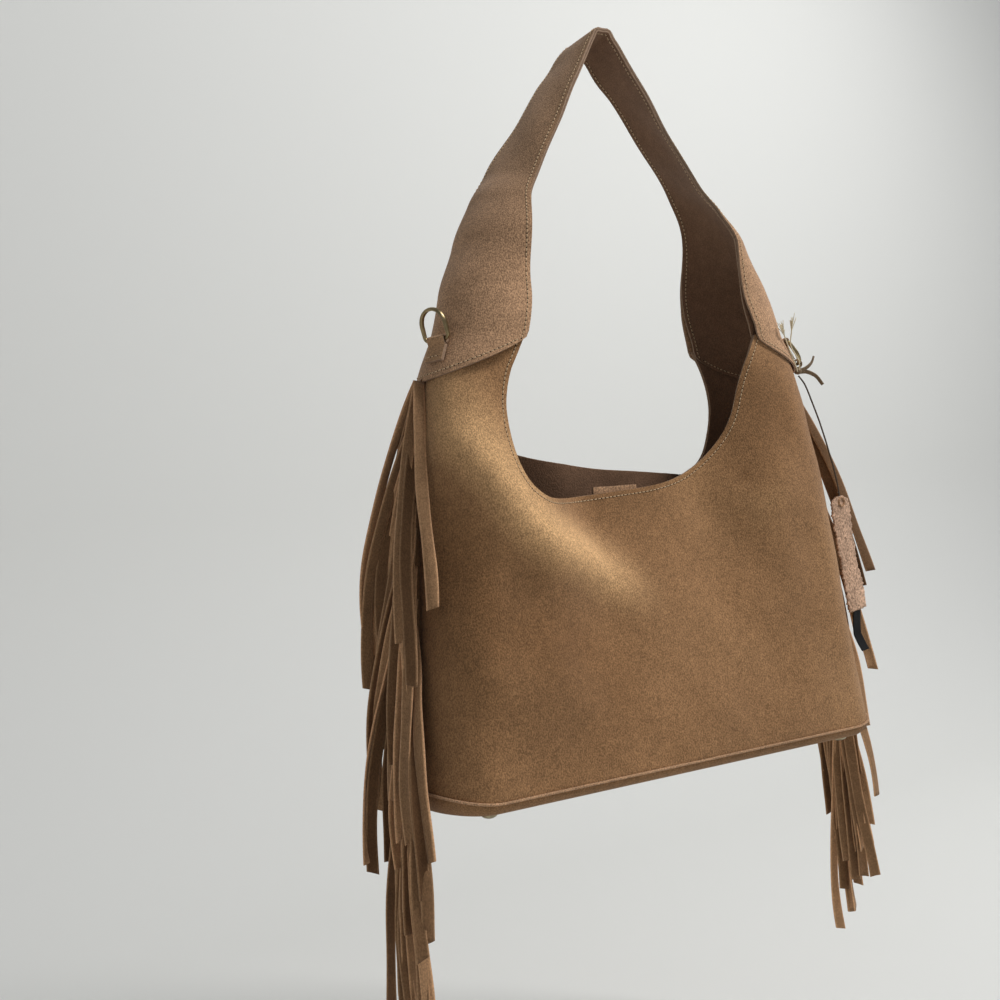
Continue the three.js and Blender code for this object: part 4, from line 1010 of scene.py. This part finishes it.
rightTips = [
    (0.234, 0.407, 20), (0.222, 0.419, -15), (0.212, 0.452, 40), (0.224, 0.486, 10), (0.206, 0.512, -35),
    (0.216, 0.530, 25), (0.160, 0.554, 60), (0.165, 0.589, 30), (0.182, 0.585, -20), (0.197, 0.564, 10),
    (0.218, 0.586, 35), (0.206, 0.606, -10), (0.193, 0.626, 50), (0.196, 0.646, 5), (0.187, 0.650, -30),
    (0.177, 0.669, 15), (0.183, 0.667, 70), (0.166, 0.680, 20), (0.202, 0.622, 0), (0.190, 0.600, 40),
]


# Path of one strip: it leaves the seam, falls over the strips below it, and ends where its tip shows. The tip
# lies on the camera's line of sight, as near to the seam's plane as the bag and the pile of strips allow.
def stripPath(sign, tipX, tipDrop, random):
    away = -camera["place"][1]
    slopeX = (sign * tipX - camera["place"][0]) / away
    slopeZ = (-tipDrop - camera["place"][2]) / away
    length = fringe["length"] + 0.010 * random.uniform(-1, 1)
    drop = float(np.clip(tipDrop - length, fringe["top"] - fringe["lift"], fringe["bottom"] - 0.006))
    fold = float(halfWidthAt(min(tipDrop, body["seamDrop"])))
    pile = fringe["leftPile" if sign < 0 else "rightPile"] + random.uniform(-0.004, 0.008)
    side = float(np.clip((sign * (fold + pile) - sign * tipX) / slopeX, -0.030, 0.036))
    endX = sign * (sign * tipX + slopeX * side)
    s = np.linspace(0, 1, fringe["steps"])
    level = drop + (tipDrop - slopeZ * side - drop) * s
    root = halfWidthAt(np.minimum(level, body["seamDrop"])) + fringe["header"]
    phase = random.uniform(0, 6.28)
    lean = 1 - (1 - s) ** (1.9 if sign < 0 else 1.1)
    x = np.maximum(lerp(root[0], endX, lean), np.minimum(root, endX + 0.003))
    x = x + 0.0013 * np.sin(s * (5 + 4 * random.random()) + phase) * s
    y = side * (1 - (1 - s) ** 1.8) + 0.0016 * np.sin(s * 7 + 2 * phase) * s
    return smoothPath(np.stack([sign * x, y, -level], -1)[::3], fringe["steps"]), phase


# One strip: a flat tube along its path, turned to face its way, a little wavy, curled and cut at a slant
def stripPart(sign, tip, random):
    tipX, tipDrop, face = tip
    path, phase = stripPath(sign, tipX, tipDrop, random)
    s = np.linspace(0, 1, len(path))
    settled = math.radians(camera["azimuth"] + face)
    turn = settled * easeStep(s, 0.03, 0.35) + 0.25 * np.sin(s * 5 + phase) * s
    tangent = unit(np.gradient(path, axis=0))
    across = np.stack([np.cos(turn), np.sin(turn), np.zeros_like(turn)], -1)
    across = unit(across - tangent * (across * tangent).sum(1)[:, None])
    facing = np.cross(tangent, across)
    half = fringe["width"] / 2 * (1 + 0.05 * np.sin(s * 17 + phase)) * (1 + 0.08 * s)
    curl = random.uniform(-0.0012, 0.0012)
    w = np.linspace(-1, 1, 7)
    slant = random.uniform(-0.002, 0.002)
    middle = (path[:, None] + across[:, None] * (half[:, None] * w)[..., None]
              + facing[:, None] * (curl * (1 - w ** 2) * s[:, None])[..., None]
              + tangent[:, None] * (slant * w * (s[:, None] > 0.99))[..., None])
    thickness = facing[:, None] * (fringe["thick"] / 2 * (1 - 0.35 * w ** 6))[:, None]
    section = np.concatenate([middle + thickness, (middle - thickness)[:, ::-1]], 1)
    return tubePart(section)


# Fringe of one side: the strips seen in the photograph, fillers behind them, and the header in the seam. Each
# strip has a tone of its own, and its cut edges are lighter.
def makeFringe(name, sign, tips, seed):
    random = np.random.default_rng(seed)
    inner, outer = fringe["leftFill" if sign < 0 else "rightFill"]
    roots = np.linspace(fringe["top"] + 0.004, fringe["bottom"] - 0.006, fringe["fillers"])
    fillers = [(random.uniform(inner, outer), root + fringe["length"] + random.uniform(-0.01, 0.006),
                random.uniform(-50, 50)) for root in roots]
    parts = [stripPart(sign, tip, random) for tip in list(tips) + fillers]
    level = np.linspace(fringe["top"] - fringe["tuck"], fringe["bottom"], 60)
    reach = fringe["header"] * lerp(0.3, 1, easeStep(level, level[0], fringe["top"] - fringe["lift"]))
    edges = np.stack([np.full(60, -0.004), reach], -1)
    plate = np.stack([sign * (halfWidthAt(level)[:, None] + edges), np.zeros((60, 2)),
                      np.repeat(-level[:, None], 2, 1)], -1)
    thick = np.array([0, fringe["thick"] / 2, 0])
    parts.append(tubePart(np.concatenate([plate + thick, (plate - thick)[:, ::-1]], 1)))
    points, faces = joinParts(parts)
    obj = addMesh(f"{name}_strips", points, faces, ["strip_suede"], replaces=[name], slot="suede")
    tones = [np.full(section.shape[:2], random.uniform(0.02, 0.72)) for section, _ in parts]
    for tone in tones[:-1]:
        tone[:, [0, 6, 7, 13]] += fringe["cutTone"]
    setTone(obj, np.clip(np.concatenate([tone.ravel() for tone in tones]), 0, 1))


makeFringe("left_fringe", -1, leftTips, 5)
makeFringe("right_fringe", 1, rightTips, 11)
print("fringe made")


# Closure tab: a tongue behind the front rim that follows the facing
tab = {"middle": -0.022, "half": 0.018, "top": 0.3215, "length": 0.039, "thick": 0.0022}


def makeTab():
    share = np.linspace(0, 1, 30)[:, None]
    w = np.linspace(-1, 1, 21)[None]
    half = tab["half"] * np.sqrt(np.maximum(0.0, 1 - (np.maximum(0, share - 0.5) / 0.58) ** 2))
    drop = np.broadcast_to(tab["top"] + tab["length"] * share, (30, 21))
    x = tab["middle"] + w * half
    point, inward = bodySurface(aroundOf(x, drop), drop, -1)
    under = body["panelThick"] + body["gap"] * 2 + body["facingThick"]
    addShell("closure_tongue", point + inward * under, point + inward * (under + tab["thick"]), "suede_light",
             replaces=["closure_tab"])


makeTab()
print("tab made")


# Inner pieces that stay as the solids are
plainNodes = {"base_board": "stiffener", "lining_floor": "lining_cloth", "snap_front": "aged_brass",
              "snap_back": "aged_brass"}
for corner in ("front_left", "front_right", "back_left", "back_right"):
    plainNodes[f"foot_washer_{corner}"] = "aged_steel"
for node, finish in plainNodes.items():
    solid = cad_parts[node]
    solid.data.materials.clear()
    solid.data.materials.append(finishes[finish])


# Swing tags: spots are outwards, to the back and up from the lowest middle of the right ring
def tagSpot(out, back, up):
    seat, _ = ringSeat(1)
    hang = math.radians(ring["rightHang"])
    low = seat @ Vector((0, -math.sin(hang) * ring["height"], math.cos(hang) * ring["height"]))
    turn = seat.to_3x3()
    return np.array(low + turn @ Vector((back, -out, up)))


tag = {
    "cord": 0.0006, "loop": 0.0031, "loopThick": 0.001, "knotDrop": 0.0056, "patch": (0.0205, 0.088, 0.0015),
    "patchTurn": 8, "patchSlant": -6, "ribbon": (0.009, 0.032, 0.0006), "string": 0.00045,
    "fibre": 0.00022, "fibres": 14, "frayed": 16,
}
cordRoute = [tagSpot(x / 1000, y / 1000, z / 1000) for x, y, z in (
    (0, 0, -9.2), (1.6, -0.1, -11.4), (4.2, -0.6, -16), (6.2, -1.4, -22.5), (8, -2.4, -30), (9.9, -3.6, -38),
    (11.6, -4.8, -46), (13, -6, -54), (14.4, -7, -62), (15.6, -8, -70), (17, -8.8, -78), (18, -9.6, -86),
    (18.8, -10.2, -93), (19.3, -10.6, -99), (19.5, -10.8, -104))]


def tagPath(spots, count):
    return smoothPath([tagSpot(*(value / 1000 for value in spot)) for spot in spots], count)


# Ring of an oval section round a centre: first and second span its plane, and through is its axis
def ovalRing(centre, radius, first, second, through, thick, wide, count, sides):
    angle, side = circle(count), circle(sides)
    path = centre + radius * (np.cos(angle)[:, None] * first + np.sin(angle)[:, None] * second)
    return (path[:, None] + unit(path - centre)[:, None] * (np.cos(side) * thick)[:, None]
            + through * (np.sin(side) * wide)[:, None])


def makeCord():
    path = smoothPath(cordRoute, 90)
    s = np.linspace(0, 1, len(path))
    points = tubePoints(path, tag["cord"] * (1 + 0.08 * np.sin(s * 260)), tag["cord"], 10)
    obj = addMesh("tag_cord_thread", points, tubeFaces(len(path), 10), ["dark_thread"], body="swing_tags",
                  replaces=["tag_cord"])
    length = float(np.linalg.norm(np.diff(path, axis=0), axis=1).sum())
    return obj, path, length


# Lace: two flat tails, the loop round the ring's bar, and the three turns of the knot
def makeLace():
    parts = []
    tails = ([(1, -1, -5.4), (6, -1.4, -3.8), (11, -1, 0), (13.5, -1, 5)],
             [(1, 1, -6), (8, 1.4, -6.4), (15, 1.6, -10), (20, 1.4, -17)])
    for tail in tails:
        s = np.linspace(0, 1, 30)
        parts.append(tubePart(tubePoints(tagPath(tail, len(s)), 0.0017 * (1 - 0.25 * s), 0.0007, 12,
                                         (0, 1, 0.3), 0.6 * s, 0.6)))
    seat, _ = ringSeat(1)
    turn = np.array(seat.to_3x3())
    out, toBack, up = -turn[:, 1], turn[:, 0], np.array([0, 0, 1])
    loop = ovalRing(tagSpot(0, 0, 0), tag["loop"], out, up, toBack, tag["loopThick"] * 0.8, 0.0016, 40, 10)
    parts.append(tubePart(loop, closed=True))
    knot = tagSpot(0, 0, -tag["knotDrop"])
    for lean, radius in ((0.35, 0.0021), (-0.5, 0.0019), (1.3, 0.0017)):
        first = out * math.cos(lean) + up * math.sin(lean)
        bend = ovalRing(knot, radius, first, toBack, np.cross(first, toBack), 0.001, 0.0016, 40, 10)
        parts.append(tubePart(bend, closed=True))
    points, faces = joinParts(parts)
    addMesh("lace_tie", points, faces, ["lace_suede"], body="swing_tags", replaces=["lace_knot"],
            slot="suede")


# Frame of the patch and the ribbon, under the cord's end
def patchMatrix():
    top = cordRoute[-1] - np.array([0, 0, body["gap"]])
    return (Matrix.Translation(Vector(top)) @ Matrix.Rotation(math.radians(tag["patchTurn"]), 4, "Z")
            @ Matrix.Rotation(math.radians(tag["patchSlant"]), 4, "Y"))


# Patch: ragged edges, a slight curl, and a round eyelet that the cord's end loop goes through
def makePatch():
    width, length, thick = tag["patch"]
    rows, columns = 120, 30
    random = np.random.default_rng(3)
    share = np.linspace(0, 1, rows)[:, None]
    w = np.linspace(-1, 1, columns)[None]
    shoulder = 1 - 0.5 * (1 - easeStep(share, 0, 0.06))
    ragged = smoothAlong(random.normal(0, 0.0009, (rows, 2)), 1)
    half = width / 2 * shoulder * (1 + 0.04 * np.sin(share * 9))
    x = w * half + np.where(w < 0, ragged[:, :1], ragged[:, 1:]) * np.abs(w) ** 8
    z = -share * length + 0.0004 * random.normal(0, 1, (1, columns)) * (share > 0.98)
    bow = 0.0016 * np.sin(share * 5.0) * share + 0.0008 * w ** 2
    rough = 0.00022 * random.normal(0, 1, (rows, columns))
    face = np.stack([x, bow + rough - thick / 2, z], -1)
    back = np.stack([x, bow - rough + thick / 2, z], -1)
    matrix = patchMatrix()
    addShell("patch_piece", placed(face, matrix), placed(back, matrix), "patch_suede",
             edge="patch_suede", bevel=0, body="swing_tags", replaces=["suede_patch"])
    right, inward, up = np.eye(3)
    loop = ovalRing(np.array([0, 0, -0.0046]), 0.0033, right, up, inward, 0.0008, 0.0021, 36, 8)
    addMesh("patch_eyelet", placed(loop, matrix), tubeFaces(36, 8, closed=True), ["suede_light"],
            body="swing_tags")


def makeRibbon():
    width, length, thick = tag["ribbon"]
    share = np.linspace(0, 1, 50)[:, None]
    w = np.linspace(-1, 1, 9)[None]
    z = -tag["patch"][1] - body["gap"] - length * share + 0 * w
    off = 0.0045 * np.sin(share * 2.2) - 0.009 * np.maximum(0, share - 0.6) + 0 * w
    skew = 0.003 * share + w * width / 2
    face = np.stack([skew, off - thick / 2, z], -1)
    back = np.stack([skew, off + thick / 2, z], -1)
    matrix = patchMatrix()
    addShell("ribbon_tape", placed(face, matrix), placed(back, matrix), "black_tape", edge="black_tape",
             bevel=0, body="swing_tags", replaces=["black_ribbon"])


# String ends: each a short cord whose last part is frayed into fibres
def makeStrings():
    ends = {
        "string_end_left": [(-2, -3.6, -6.2), (-6.8, -12.8, -4.3), (-15.6, -24, 6.5), (-22, -31, 17),
                            (-25.5, -33, 26)],
        "string_end_right": [(-0.5, -4.05, -5.1), (-4.8, -13.8, 0.7), (-14.6, -23.8, 11), (-16, -30, 20),
                             (-15.5, -33.5, 29.5)],
    }
    random = np.random.default_rng(8)
    for name, spots in ends.items():
        path = tagPath(spots, 60)
        parts = [(tubePoints(path, tag["string"], tag["string"], 8), tubeFaces(len(path), 8))]
        tip = path[-tag["frayed"]:]
        for _ in range(tag["fibres"]):
            spread = random.normal(0, 0.0016, 3) * np.linspace(0, 1, len(tip))[:, None] ** 1.3
            points = tubePoints(tip + spread, tag["fibre"], tag["fibre"], 5)
            parts.append((points, tubeFaces(len(tip), 5)))
        points, faces = joinParts(parts)
        addMesh(f"{name}_fibres", points, faces, ["pale_string"], body="right_ring_body", replaces=[name])


cordThread, cordPath, cordLength = makeCord()
makeLace()
makePatch()
makeRibbon()
makeStrings()
print("tags made")


# Stage: a pale floor that curves up into a backdrop, and large soft lamps
stage = {
    "floor": -0.78, "wall": 1.1, "bend": 0.5, "reach": 3.0, "color": (0.76, 0.76, 0.735),
    "sky": (0.93, 0.96, 1.0), "skyStrength": 0.26,
}


def makeStage():
    angle = np.linspace(0, np.pi / 2, 24)
    floor, wall, bend, reach = (stage[key] for key in ("floor", "wall", "bend", "reach"))
    curve = np.stack([wall - bend + bend * np.sin(angle), floor + bend - bend * np.cos(angle)], -1)
    profile = np.concatenate([[[-reach, floor]], curve, [[wall, reach]]])
    x = np.array([-reach, reach])
    points = np.stack([np.broadcast_to(x, (len(profile), 2)), np.repeat(profile[:, :1], 2, 1),
                       np.repeat(profile[:, 1:], 2, 1)], -1).reshape(-1, 3)
    faces = [[2 * k, 2 * k + 1, 2 * k + 3, 2 * k + 2] for k in range(len(profile) - 1)]
    mesh = bpy.data.meshes.new("backdrop")
    mesh.from_pydata(points.tolist(), [], faces)
    mesh.polygons.foreach_set("use_smooth", np.full(len(faces), True))
    backdrop = bpy.data.objects.new("backdrop", mesh)
    bpy.context.collection.objects.link(backdrop)
    material, _ = newMaterial("backdrop", stage["color"], 0.9)
    mesh.materials.append(material)


lamps = [
    # name, place, aim, size, watts
    ("key", (0.95, -1.0, 1.45), (0, 0, -0.3), 0.6, 38),
    ("fill", (-1.6, -1.5, 0.1), (0, 0, -0.35), 1.6, 2.5),
    ("wall", (1.4, 0.1, 0.8), (0.3, 1.1, -0.3), 1.0, 5),
]


def makeLights():
    for name, place, aim, size, watts in lamps:
        data = bpy.data.lights.new(name, "AREA")
        data.size = size
        data.energy = watts
        lamp = bpy.data.objects.new(name, data)
        lamp.location = place
        lamp.rotation_euler = (Vector(aim) - Vector(place)).to_track_quat("-Z", "Y").to_euler()
        bpy.context.collection.objects.link(lamp)
    world = bpy.data.worlds.new("studio")
    world.use_nodes = True
    sky = world.node_tree.nodes["Background"].inputs
    sky["Color"].default_value = (*stage["sky"], 1)
    sky["Strength"].default_value = stage["skyStrength"]
    bpy.context.scene.world = world


makeStage()
makeLights()
bpy.context.scene.view_settings.view_transform = "Standard"
print("stage made")
